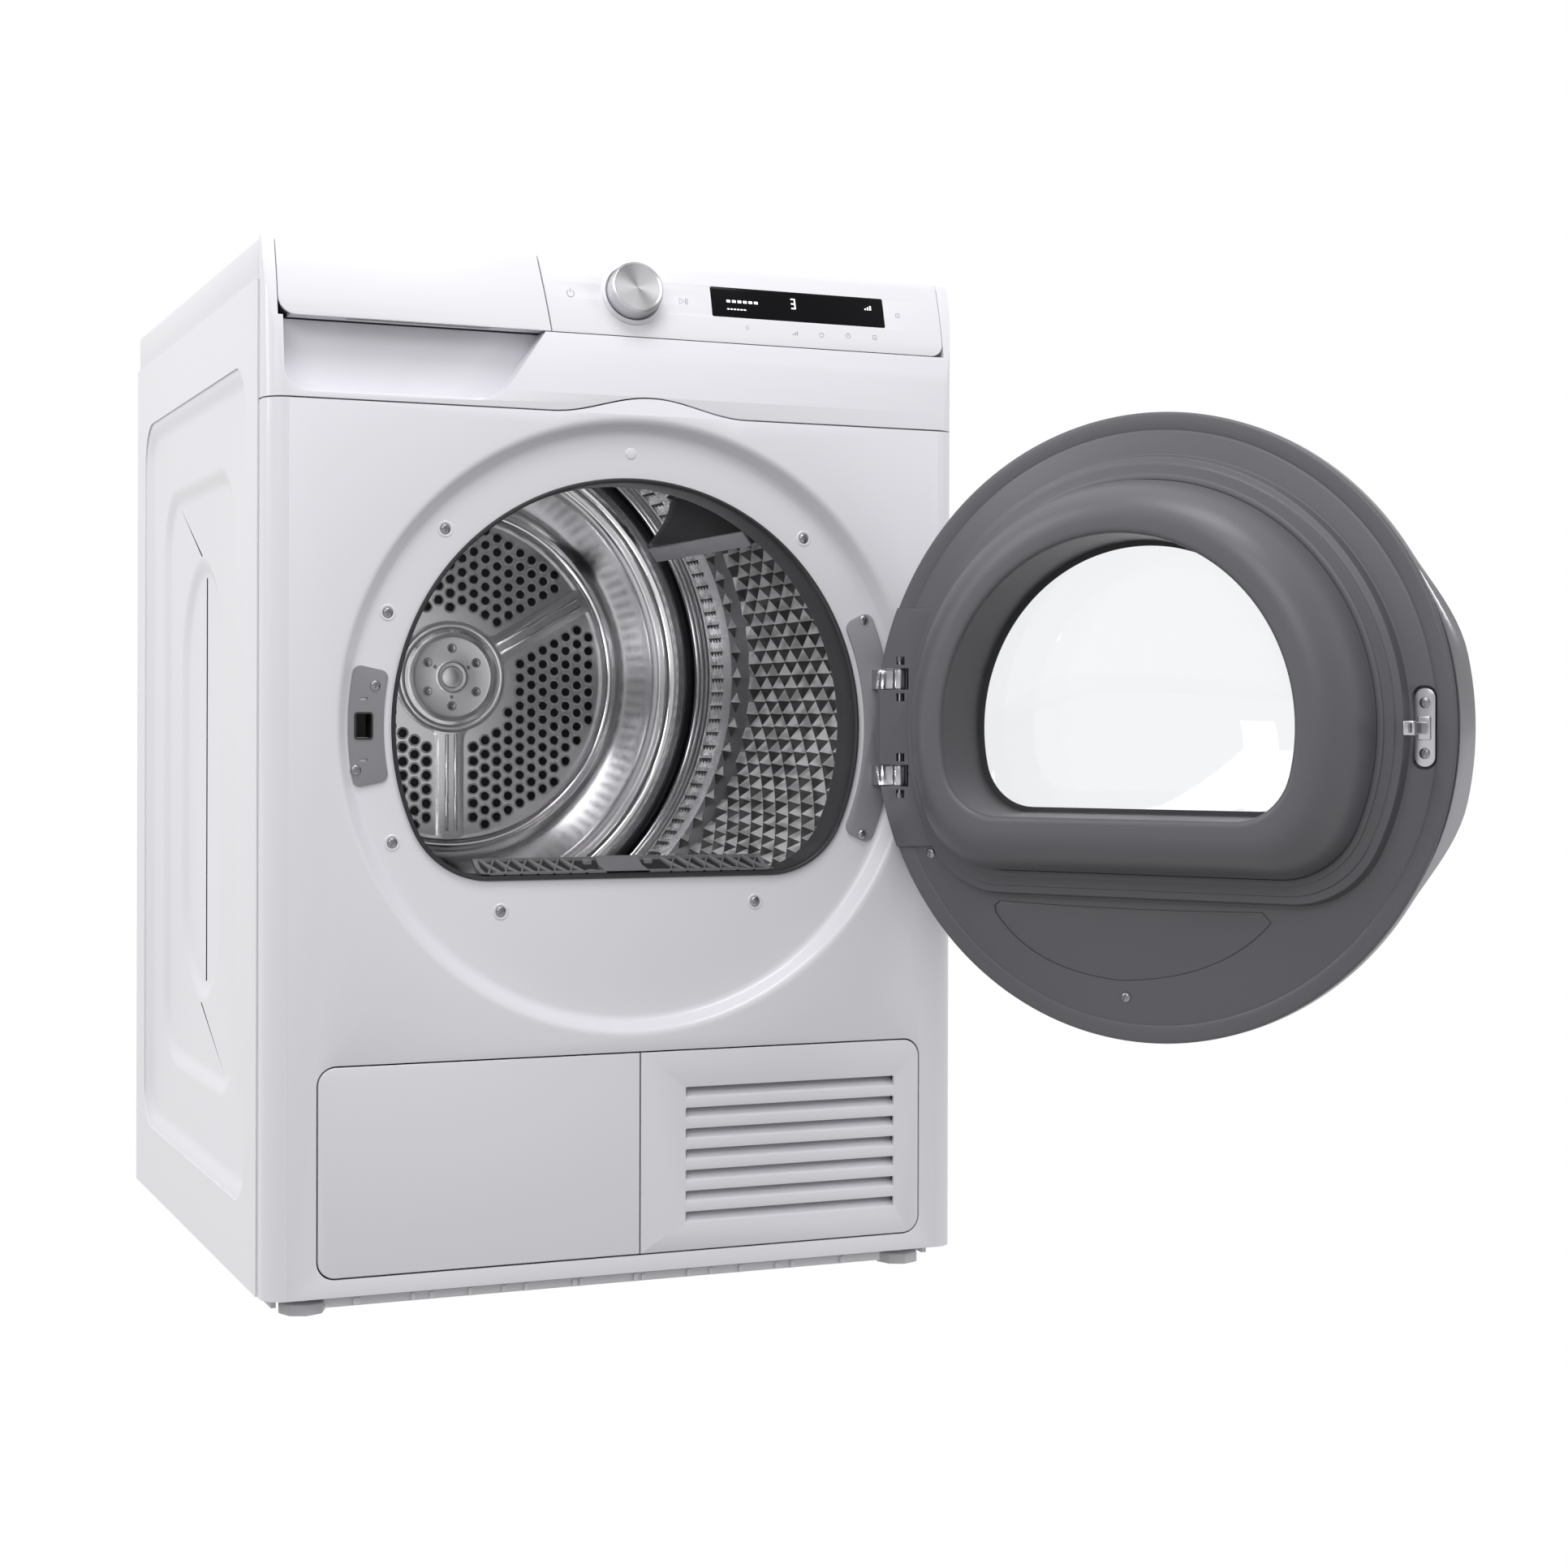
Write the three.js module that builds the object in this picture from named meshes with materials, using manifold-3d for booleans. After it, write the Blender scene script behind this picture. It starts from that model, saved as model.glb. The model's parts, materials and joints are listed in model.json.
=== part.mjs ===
// Free-standing heat-pump clothes dryer with an open round door. Millimetres, +Z up, +X to the right of the front.
// The front faces -Y. The origin is the middle of the cabinet's footprint, level with the floor.
import * as THREE from 'three';
import { mergeVertices } from 'three/addons/utils/BufferGeometryUtils.js';
import Module from 'manifold-3d';

const wasm = await Module();
wasm.setup();

// Cabinet
const width = 600;
const height = 850;
const depth = 600;
const sheet = 1.6; // steel sheet of the cabinet
const cornerRound = 18; // round of the front panels' upright corners
const fitGap = 0.3; // clearance between pieces that touch
const coverHeight = 34;
const frontDepth = 27; // depth of the front panels' side returns
const upperFrontHeight = 129;
const seamHeight = height - upperFrontHeight; // seam between the lower and the upper front panel
const seamBump = 14; // rise of that seam over the door
const leanRadius = 378; // curve by which the upper front leans back
const frontClearance = 17; // floor to the lower edge of the front panel
const baseUnderside = 6;
const baseTop = 26;

// Door opening
const doorX = 8;
const doorZ = 465;
const recessRadius = 251;
const recessDepth = 13;
const recessSlope = 10; // how much smaller the recess floor is than its mouth
const mouthRadius = 205;
const mouthDrop = 125; // door centre down to the flat lower edge of the opening
const mouthFillet = 70;
const tunnelWall = 3.7; // the bulkhead's tunnel lines the opening

// Door
const openAngle = 123; // how far the door stands open
const hingeX = 240;
const hingeForward = 12; // hinge axis in front of the cabinet's face
const doorRadius = 252;
const doorFront = 46; // cabinet's face to the front of the door
const doorInner = 6; // cabinet's face to the back of the door's flange
const bowlRadius = 196;
const bowlTip = 60; // how far the bowl reaches in behind the cabinet's face
const rimWidth = 45; // from the bowl's outside to the window's edge
const paneThickness = 4;
const hingeSpread = 41; // each hinge knuckle above and below the door's centre

// Drum
const drumX = -5;
const drumZ = 515;
const drumRadius = 268;
const drumFrontGap = 56; // cabinet's face to the drum's front edge
const drumFront = depth / 2 - drumFrontGap;
const drumBackGap = 86; // drum's back corner to the cabinet's back
const drumBack = depth / 2 - drumBackGap;
const drumWall = 1.6;
const perforatedRadius = 164;
const lifterHeight = 58;
const lifterAngle = THREE.MathUtils.degToRad(54.5);
const lifterFrontGap = 22;
const lifterBackGap = 84;
const lifterHalf = 34; // half width at the drum's wall
const crestHalf = 6;
const shaftRadius = 10;
const bearingRadius = 22;
const rollerRadius = 22;
const rollerAngle = 35; // the front rollers stand this far to each side of the drum's lowest point

// Drive
const beltWidth = 12;
const beltThickness = 2;
const beltY = depth / 2 - 248;
const motorX = 190;
const motorZ = 140;
const motorRadius = 52;
const pulleyRadius = 10;
const idlerRadius = 16;

// Service opening and its two panels
const serviceLeft = -258;
const serviceRight = 264;
const serviceBottom = 32;
const serviceTop = 197;
const serviceCorner = 14;
const serviceSplit = 10;
const panelGap = 1.2;
const panelThickness = 3;

// Controls and water tank
const fasciaHeight = 64;
const fasciaBottom = height - fasciaHeight;
const fasciaThickness = 3;
const fasciaInset = 10; // cabinet's side to the fascia's end
const controlSplit = -70; // between the tank's front and the control panel
const knobX = 6;
const knobDrop = 28; // top of the dryer down to the knob's axis
const knobZ = height - knobDrop;
const knobRadius = 23;
const knobHeight = 15;
const displayLeft = 76;
const displayRight = 236;
const displayDrop = 16; // top of the dryer down to the display
const displayHeight = 26;
const displayTop = height - displayDrop;
const displayBottom = displayTop - displayHeight;
const tankBackGap = 116; // tank's back to the cabinet's back
const tankWall = 2.4;

// Feet
const footInset = 38;
const footRadius = 19;
const footPad = 9;
const footStem = 5;

const halfWidth = width / 2;
const frontY = -depth / 2;
const backY = depth / 2;
const coverBottom = height - coverHeight;
const returnY = frontY + frontDepth;
const floorY = frontY + recessDepth;
const group = new THREE.Group();

const colours = {
  cabinet: { color: '#eeeef2', roughness: 0.35, metalness: 0 },
  fascia: { color: '#f4f4f7', roughness: 0.3, metalness: 0 },
  darkPlastic: { color: '#5f5f66', roughness: 0.5, metalness: 0 },
  blackPlastic: { color: '#2b2b30', roughness: 0.6, metalness: 0 },
  greyPlastic: { color: '#8a8a90', roughness: 0.55, metalness: 0 },
  steel: { color: '#c4c4c8', roughness: 0.25, metalness: 1 },
  zinc: { color: '#9a9ca0', roughness: 0.45, metalness: 1 },
  rubber: { color: '#26262a', roughness: 0.85, metalness: 0 },
  felt: { color: '#4a4a4e', roughness: 0.95, metalness: 0 },
  glass: { color: '#e8eef0', roughness: 0.05, metalness: 0 },
  blackGlass: { color: '#08080a', roughness: 0.08, metalness: 0 },
  brushed: { color: '#d0d0d4', roughness: 0.3, metalness: 1 },
  aluminium: { color: '#bfc3c6', roughness: 0.4, metalness: 1 },
  copper: { color: '#b06a42', roughness: 0.35, metalness: 1 },
  blackSteel: { color: '#1f2023', roughness: 0.5, metalness: 0.3 },
  board: { color: '#1f5a3a', roughness: 0.6, metalness: 0 },
  ivory: { color: '#d9d9d6', roughness: 0.5, metalness: 0 },
};

// Solids

function signedVolume(geometry) {
  const place = geometry.attributes.position;
  const index = geometry.index;
  const [a, b, c] = [new THREE.Vector3(), new THREE.Vector3(), new THREE.Vector3()];
  let total = 0;
  for (let i = 0; i < index.count; i += 3) {
    a.fromBufferAttribute(place, index.getX(i));
    b.fromBufferAttribute(place, index.getX(i + 1));
    c.fromBufferAttribute(place, index.getX(i + 2));
    total += a.dot(b.cross(c)) / 6;
  }
  return total;
}

// The geometry as a solid, with its faces turned outwards if a profile ran the other way.
function solid(geometry) {
  const bare = geometry.clone();
  bare.deleteAttribute('normal');
  bare.deleteAttribute('uv');
  const merged = mergeVertices(bare, 0.0005);
  const corners = merged.index.array.slice();
  if (signedVolume(merged) < 0) corners.reverse();
  const vertProperties = new Float32Array(merged.attributes.position.array);
  return new wasm.Manifold(new wasm.Mesh({ numProp: 3, vertProperties,
    triVerts: new Uint32Array(corners) }));
}

function geometryOf(body) {
  const mesh = body.getMesh();
  const geometry = new THREE.BufferGeometry();
  geometry.setAttribute('position', new THREE.BufferAttribute(new Float32Array(mesh.vertProperties), 3));
  geometry.setIndex(new THREE.BufferAttribute(new Uint32Array(mesh.triVerts), 1));
  geometry.computeVertexNormals();
  return geometry;
}

const join = (...bodies) => bodies.reduce((whole, next) => whole.add(next));
const cut = (body, ...tools) => tools.reduce((rest, tool) => rest.subtract(tool), body);

function part(name, body, finish, parent = group) {
  const material = new THREE.MeshStandardMaterial(colours[finish]);
  const mesh = new THREE.Mesh(geometryOf(body), material);
  mesh.name = name;
  parent.add(mesh);
  return mesh;
}

// Shapes: a box by its limits, plates drawn in one plane and thickened along the third axis, and turned pieces.

function box(x0, x1, y0, y1, z0, z1) {
  const geometry = new THREE.BoxGeometry(x1 - x0, y1 - y0, z1 - z0);
  return solid(geometry.translate((x0 + x1) / 2, (y0 + y1) / 2, (z0 + z1) / 2));
}

function plate(outline, y0, y1, options = {}) {
  const settings = { depth: y1 - y0, bevelEnabled: false, curveSegments: 4, ...options };
  const geometry = new THREE.ExtrudeGeometry(outline, settings);
  return solid(geometry.rotateX(Math.PI / 2).translate(0, y1, 0));
}

function slab(outline, z0, z1) {
  const geometry = new THREE.ExtrudeGeometry(outline,
    { depth: z1 - z0, bevelEnabled: false, curveSegments: 5 });
  return solid(geometry.translate(0, 0, z0));
}

// An outline drawn with Y across and Z up, thickened from x0 to x1.
function wall(outline, x0, x1) {
  const geometry = new THREE.ExtrudeGeometry(outline,
    { depth: x1 - x0, bevelEnabled: false, curveSegments: 3 });
  const turn = new THREE.Matrix4().set(0, 0, 1, x0, 1, 0, 0, 0, 0, 1, 0, 0, 0, 0, 0, 1);
  return solid(geometry.applyMatrix4(turn));
}

// A closed profile of [radius, y] turned about an axis along Y through (x, z).
function turned(profile, x, z, segments = 32) {
  const points = profile.map(([radius, y]) => new THREE.Vector2(radius, y));
  return solid(new THREE.LatheGeometry(points, segments).translate(x, 0, z));
}

function ringAlongY(inner, outer, y0, y1, x, z, segments = 20) {
  return turned([[inner, y0], [outer, y0], [outer, y1], [inner, y1], [inner, y0]], x, z, segments);
}

function rodAlongY(radius, y0, y1, x, z, segments = 12) {
  return turned([[0, y0], [radius, y0], [radius, y1], [0, y1]], x, z, segments);
}

// A profile of [radius, z] turned about an upright axis through (x, y).
function uprightTurned(profile, x, y, segments = 16) {
  const points = profile.map(([radius, z]) => new THREE.Vector2(radius, z));
  return solid(new THREE.LatheGeometry(points, segments).rotateX(Math.PI / 2).translate(x, y, 0));
}

function uprightRod(radius, z0, z1, x, y, segments = 12) {
  return uprightTurned([[0, z0], [radius, z0], [radius, z1], [0, z1]], x, y, segments);
}

function roundedRect(x0, x1, z0, z1, radius) {
  const shape = new THREE.Shape();
  shape.absarc(x1 - radius, z1 - radius, radius, 0, Math.PI / 2);
  shape.absarc(x0 + radius, z1 - radius, radius, Math.PI / 2, Math.PI);
  shape.absarc(x0 + radius, z0 + radius, radius, Math.PI, Math.PI * 1.5);
  shape.absarc(x1 - radius, z0 + radius, radius, Math.PI * 1.5, Math.PI * 2);
  return shape;
}

// The door opening's outline, a circle cut off flat below with rounded corners. grow makes it larger all round.
function mouthOutline(grow = 0, steps = 22) {
  const radius = mouthRadius + grow;
  const fillet = mouthFillet + grow;
  const rise = fillet - mouthDrop - grow;
  const reach = Math.sqrt((radius - fillet) ** 2 - rise ** 2);
  const turnOff = Math.atan2(rise, reach);
  const shape = new THREE.Shape();
  const arc = (x, z, r, from, to, count) => {
    for (let i = 0; i <= count; i += 1) {
      const angle = from + ((to - from) * i) / count;
      const [u, v] = [x + r * Math.cos(angle), z + r * Math.sin(angle)];
      if (shape.curves.length === 0 && i === 0 && shape.currentPoint.length() === 0) shape.moveTo(u, v);
      else if (Math.hypot(shape.currentPoint.x - u, shape.currentPoint.y - v) > 0.01) shape.lineTo(u, v);
    }
  };
  arc(doorX, doorZ, radius, turnOff, Math.PI - turnOff, steps);
  arc(doorX - reach, doorZ + rise, fillet, Math.PI - turnOff, Math.PI * 1.5, 4);
  arc(doorX + reach, doorZ + rise, fillet, -Math.PI / 2, turnOff, 4);
  return shape;
}

// How far back the leaning upper front stands at a height.
const lean = (z) => (z > seamHeight ? (z - seamHeight) ** 2 / (2 * leanRadius) : 0);

// A curved band that follows the leaning front, from one depth under its face to another.
function leaningBand(x0, x1, z0, z1, near, far) {
  const steps = Math.max(2, Math.ceil((z1 - z0) / 16));
  const heights = Array.from({ length: steps + 1 }, (_, i) => z0 + ((z1 - z0) * i) / steps);
  const points = heights.map((z) => new THREE.Vector2(frontY + lean(z) + near, z));
  heights.reverse();
  points.push(...heights.map((z) => new THREE.Vector2(frontY + lean(z) + far, z)));
  return wall(new THREE.Shape(points), x0, x1);
}

// Cabinet

function baseMoulding() {
  const inset = 12;
  const rim = 8;
  const rimTop = 62;
  const [left, right] = [-halfWidth + inset, halfWidth - inset];
  const [front, back] = [returnY + 5, backY - 9];
  const body = box(left, right, front, back, baseUnderside, baseTop);
  const sides = join(
    box(left, left + rim, front, back, baseTop - 1, rimTop),
    box(right - rim, right, front, back, baseTop - 1, rimTop),
    box(left, right, back - rim, back, baseTop - 1, rimTop),
  );
  const skirt = box(-250, 232, frontY + 9, front + 1, baseUnderside + 2, frontClearance - 2);
  const ribs = Array.from({ length: 8 }, (_, i) => {
    const x = -226 + i * 60;
    return box(x, x + 4, frontY + 7, frontY + 10, baseUnderside + 3, frontClearance - 3);
  });
  const footX = halfWidth - footInset;
  const footY = backY - footInset;
  const wells = [];
  for (const x of [-footX, footX]) {
    for (const y of [-footY, footY]) {
      wells.push(uprightRod(footStem + 0.4, 0, baseTop + 2, x, y, 16));
      const room = footRadius + 3;
      wells.push(box(x - room, x + room, y - room, y + room, 0, footPad + 4));
    }
  }
  const trays = [box(-262, -20, frontY + 75, backY - 70, baseTop - 8, baseTop + 1),
    box(60, 262, frontY + 75, frontY + 260, baseTop - 8, baseTop + 1)];
  const [postX, postZ] = tensionerPost();
  const post = join(
    box(postX - 8, postX + 8, armY + armThickness + fitGap, armY + armThickness + 8, baseTop - 1,
      postZ + 8),
    rodAlongY(armEye - fitGap, armY - 2, armY + armThickness + 2, postX, postZ, 14),
  );
  part('base_moulding', cut(join(body, sides, skirt, post, ...ribs), ...wells, ...trays), 'ivory');
}

// Each side is a sheet with three nested long panels, pressed in one step deeper each.
function sidePanel(name, sign) {
  const step = 3.5;
  const marginY = 40;
  const spread = 38;
  const [front, back] = [returnY + fitGap, backY - sheet - fitGap];
  const [bottom, top] = [frontClearance, coverBottom - fitGap];
  const nested = (level, grow) => {
    const inset = marginY + spread * level * 1.25 - grow;
    const drop = 62 + spread * level - grow;
    return roundedRect(front + inset, back - inset, bottom + drop, top - drop - 22, 30);
  };
  const across = (from, to) => (sign < 0 ? [-halfWidth + from, -halfWidth + to] : [halfWidth - to,
    halfWidth - from]);
  const flat = roundedRect(front, back, bottom, top, 0.5);
  let body = wall(flat, ...across(0, sheet));
  for (let level = 0; level < 3; level += 1) {
    const deep = step * (level + 1);
    body = body.add(wall(nested(level, 0), ...across(0, deep + sheet)));
  }
  for (let level = 0; level < 3; level += 1) {
    const deep = step * (level + 1);
    body = cut(body, wall(nested(level, -sheet), ...across(-1, deep)));
  }
  part(name, body, 'cabinet');
}

function rearPanel() {
  const edge = halfWidth - sheet - fitGap - 1;
  const body = box(-edge, edge, backY - sheet, backY, frontClearance, coverBottom - fitGap);
  const round = rodAlongY(ductRadius + 1, backY - 3, backY + 1, drumX, drumZ, 32);
  const inletHole = box(inletX - 21, inletX + 21, backY - 3, backY + 1, inletZ - 16, inletZ + 16);
  const vents = Array.from({ length: 8 }, (_, i) => {
    const z = 96 + i * 14;
    return box(110, 230, backY - 3, backY + 1, z, z + 6);
  });
  part('rear_panel', cut(body, round, inletHole, ...vents), 'zinc');
}

function topCover() {
  const [front, back] = [returnY + fitGap, backY];
  const rim = 3;
  const outer = slab(roundedRect(-halfWidth, halfWidth, front, back, 6), coverBottom, height);
  const underside = box(-halfWidth + rim, halfWidth - rim, front - 1, back - rim - 2, coverBottom - 1,
    coverBottom + 16);
  part('top_cover', cut(outer, underside), 'cabinet');
}

// Outline in plan of the front panels, with both upright corners rounded.
function frontPlan(inset) {
  const shape = new THREE.Shape();
  const radius = cornerRound - inset;
  const [left, right] = [-halfWidth + inset, halfWidth - inset];
  shape.moveTo(left, returnY + (inset > 0 ? 1 : 0));
  shape.lineTo(left, frontY + cornerRound);
  shape.absarc(left + radius, frontY + inset + radius, radius, Math.PI, Math.PI * 1.5);
  shape.absarc(right - radius, frontY + inset + radius, radius, Math.PI * 1.5, Math.PI * 2);
  shape.lineTo(right, returnY + (inset > 0 ? 1 : 0));
  return shape;
}

// The seam's height across the front: level, with a smooth rise over the door.
function seamAt(x) {
  const away = Math.min(1, Math.abs(x - doorX - 10) / 85);
  return seamHeight + (seamBump * (1 + Math.cos(Math.PI * away))) / 2;
}

function seamPoints(offset) {
  const steps = Array.from({ length: 9 }, (_, i) => doorX + 10 - 85 + (170 * i) / 8);
  return [-halfWidth - 1, ...steps, halfWidth + 1].map((x) => new THREE.Vector2(x, seamAt(x) + offset));
}

function lowerFrontPanel() {
  const under = (offset, low) => {
    const points = seamPoints(offset);
    points.push(new THREE.Vector2(halfWidth + 1, low), new THREE.Vector2(-halfWidth - 1, low));
    return plate(new THREE.Shape(points.reverse()), frontY - 1, returnY + 2);
  };
  const skin = slab(frontPlan(0), frontClearance, seamHeight + 30).intersect(under(-panelGap / 2, 0));
  const inside = slab(frontPlan(sheet), frontClearance + sheet, seamHeight + 30);
  const hollow = inside.intersect(under(-panelGap / 2 - sheet, frontClearance + sheet));
  const pan = recessCone(sheet, frontY, floorY + sheet);
  const pocket = recessCone(0, frontY - 2, floorY);
  const mouth = plate(mouthOutline(0), frontY - 5, returnY + 5);
  const service = plate(serviceOutline(panelGap), frontY - 5, returnY + 5);
  const catchHole = box(catchX - 9, catchX + 9, floorY - 2, floorY + sheet + 2, doorZ - 13, doorZ + 13);
  part('lower_front_panel', cut(join(cut(skin, hollow), pan), pocket, mouth, service, catchHole),
    'cabinet');
}

// The round recess as a solid plug, wider at the cabinet's face than at its floor.
function recessCone(grow, y0, y1) {
  const slope = recessSlope / recessDepth;
  const radiusAt = (y) => recessRadius + grow - (y - frontY) * slope;
  return turned([[0, y0], [radiusAt(y0), y0], [radiusAt(y1), y1], [0, y1]], doorX, doorZ, 40);
}

function serviceOutline(grow) {
  return roundedRect(
    serviceLeft - grow,
    serviceRight + grow,
    serviceBottom - grow,
    serviceTop + grow,
    serviceCorner + grow,
  );
}

// The upper front is a frame: a band over the door with the finger recess in it, and a narrow post at each end.
function upperFrontPanel() {
  const over = (offset) => {
    const points = seamPoints(offset);
    points.push(new THREE.Vector2(halfWidth + 1, height), new THREE.Vector2(-halfWidth - 1, height));
    return plate(new THREE.Shape(points), frontY - 1, returnY + 12);
  };
  const plan = (inset) => {
    const leaning = leaningBand(-halfWidth - 1, halfWidth + 1, seamHeight - 1, height, inset,
      frontDepth + 40);
    return slab(frontPlan(inset), seamHeight - 1, height).intersect(leaning);
  };
  const skin = plan(0).intersect(over(panelGap / 2));
  const hollow = plan(sheet).intersect(over(panelGap / 2 + sheet));
  const recessBack = returnY - sheet;
  const recessPan = plate(gripOutline(sheet), frontY, returnY);
  const pan = recessPan.intersect(leaningBand(-halfWidth, halfWidth, seamHeight - 1, height, 0.5, 60));
  const recess = plate(gripOutline(0), frontY - 2, recessBack);
  const fasciaEnd = halfWidth - fasciaInset;
  const window = box(-fasciaEnd, fasciaEnd, frontY - 2, returnY + 12, fasciaBottom - 1.5, height + 1);
  part('upper_front_panel', cut(join(cut(skin, hollow), pan), recess, window), 'cabinet');
}

// Finger recess under the water tank's front: square to the left, slanting up to the control panel on the right.
function gripOutline(grow) {
  const [low, high] = [seamHeight + 5 - grow, fasciaBottom + 4];
  const left = -halfWidth + 14 - grow;
  const corner = 20 + grow;
  const shape = new THREE.Shape();
  shape.moveTo(left, high);
  shape.lineTo(left, low + corner);
  shape.absarc(left + corner, low + corner, corner, Math.PI, Math.PI * 1.5);
  shape.lineTo(-132, low);
  shape.quadraticCurveTo(-116 + grow, low, -106 + grow, low + 16);
  shape.lineTo(controlSplit + grow, high);
  return shape;
}

// Front bulkhead: the tunnel that lines the door opening, the web that closes the drum's front, the lint filter's
// channel, and the two pins for the drum's front rollers.
function frontBulkhead() {
  const back = -drumFront - 6.2;
  const face = back - 6;
  const behindSheet = floorY + sheet + fitGap;
  const lining = plate(mouthOutline(-fitGap), floorY - 3, back);
  const tube = plate(mouthOutline(4), behindSheet, back);
  const web = box(-halfWidth + 36, halfWidth - 36, face, back, 214, seamHeight + 55);
  const floorZ = doorZ - mouthDrop;
  const channel = box(-filterHalf - 5, filterHalf + 5, behindSheet, face + 1, filterBottom - 6, floorZ);
  const bore = plate(mouthOutline(-tunnelWall), floorY - 5, back + 1);
  const slot = box(-filterHalf - 1, filterHalf + 1, filterFront - 1.5, filterBack + 1.5, filterBottom - 2,
    floorZ + 9);
  const pins = [-1, 1].map((side) => {
    const [x, z] = rollerCentre(side);
    return rodAlongY(rollerPinRadius, face, -drumFront + 31, x, z, 12);
  });
  part('front_bulkhead', join(cut(join(lining, tube, web, channel), bore, slot), ...pins), 'blackPlastic');
}

// Lint filter: a flat case with a screen in front and behind, under the lower edge of the opening.
const filterHalf = 108;
const filterBottom = 178;
const filterFront = floorY + 7;
const filterBack = floorY + 25;

function lintFilter() {
  const top = doorZ - mouthDrop + tunnelWall + 3;
  const body = box(-filterHalf, filterHalf, filterFront, filterBack, filterBottom, top);
  const hollow = box(-filterHalf + 5, filterHalf - 5, filterFront + 4, filterBack - 4, filterBottom + 5,
    top + 1);
  const bays = Array.from({ length: 4 }, (_, i) => {
    const left = -filterHalf + 8 + (i * (2 * filterHalf - 10)) / 4;
    return box(left, left + (2 * filterHalf - 34) / 4, filterFront - 1, filterBack + 1, filterBottom + 12,
      top - 22);
  });
  const fingers = [-1, 1].map((side) => {
    const y = side < 0 ? filterFront : filterBack;
    return box(-24, 24, y - 2, y + 2, top - 16, top - 5);
  });
  part('lint_filter', cut(body, hollow, ...bays, ...fingers), 'darkPlastic');
}

// Air duct and back plate behind the drum, with the bearing's seat in its middle.
const ductRadius = 246;
const ductDepth = 52;

function rearDuct() {
  const y1 = backY - 3;
  const y0 = y1 - ductDepth;
  const skinDepth = 3;
  const dish = turned(
    [[0, y1], [ductRadius, y1], [ductRadius, y0], [ductRadius - skinDepth, y0],
      [ductRadius - skinDepth, y1 - skinDepth],
      [0, y1 - skinDepth]],
    drumX,
    drumZ,
    32,
  );
  const boss = rodAlongY(bearingRadius + 6, y1 - 34, y1 - 1, drumX, drumZ, 16);
  const seat = rodAlongY(bearingRadius, y1 - 36, y1 - 14, drumX, drumZ, 20);
  const shaftEnd = rodAlongY(shaftRadius + 2, y1 - 20, y1 - 6, drumX, drumZ, 20);
  const chute = box(-130, 130, y0, y1, 92, 330);
  const chuteHollow = box(-127, 127, y0 - 1, y1 - skinDepth, 95, 340);
  const dishHollow = turned([[0, y0 - 1], [ductRadius - 3, y0 - 1], [ductRadius - 3, y1 - 3],
    [0, y1 - 3]], drumX, drumZ, 32);
  const shell = cut(join(dish, cut(chute, chuteHollow)), dishHollow.intersect(chuteBox(y0, y1)));
  part('rear_air_duct', cut(join(shell, boss), seat, shaftEnd), 'greyPlastic');
  const ring = ringAlongY(shaftRadius + fitGap, bearingRadius - fitGap, y1 - 34, y1 - 16, drumX, drumZ, 20);
  part('drum_bearing', ring, 'steel');
}

// Room in the dish above the chute, so that the chute's upper wall does not close it off.
function chuteBox(y0, y1) {
  return box(-127, 127, y0 - 1, y1, 200, 345);
}

// Drum

function drumShell() {
  const lipInner = drumRadius - 17;
  const front = -drumFront;
  const inner = drumRadius - drumWall;
  const profile = [
    [lipInner, front], [drumRadius - 6, front], [drumRadius, front + 6], [drumRadius, drumBack],
    [inner, drumBack], [inner, front + 6.5], [drumRadius - 6.5, front + drumWall],
      [lipInner, front + drumWall],
    [lipInner, front],
  ];
  part('drum_shell', turned(profile, drumX, drumZ, 36), 'steel');
}

// The drum's back: a rounded dish outside, and inside it a flat plate with three perforated fields.
function drumRearWall() {
  const corner = drumBack + fitGap;
  const profile = [
    [drumRadius - 0.2, corner], [drumRadius - 0.2, corner + 4], [254, corner + 13], [228, corner + 13],
    [perforatedRadius + 14, corner - 2], [perforatedRadius + 4, corner + 4], [0, corner + 4],
    [0, corner + 2], [perforatedRadius + 3, corner + 2], [perforatedRadius + 13, corner - 4],
    [229, corner + 11], [252, corner + 11], [drumRadius - 3, corner],
  ];
  profile.push(profile[0]);
  let body = turned(profile, drumX, drumZ, 36);
  const holes = [];
  for (let sector = 0; sector < 3; sector += 1) {
    const middle = Math.PI / 2 + (sector * Math.PI * 2) / 3;
    for (const [radius, count] of [[90, 2], [134, 3]]) {
      for (let i = 0; i < count; i += 1) {
        const angle = middle + ((i - (count - 1) / 2) / count) * 1.72;
        const [x, z] = [drumX + radius * Math.cos(angle), drumZ + radius * Math.sin(angle)];
        holes.push(rodAlongY(13, corner - 1, corner + 8, x, z, 6));
      }
    }
  }
  body = cut(body, ...holes);
  part('drum_rear_wall', body, 'steel');
}

function drumShaft() {
  const back = drumBack + fitGap + 4 + fitGap;
  const flange = rodAlongY(34, back, back + 5, drumX, drumZ, 24);
  const shaft = rodAlongY(shaftRadius, back + 4, backY - 3 - 8, drumX, drumZ, 20);
  part('drum_shaft', join(flange, shaft), 'zinc');
}

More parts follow.
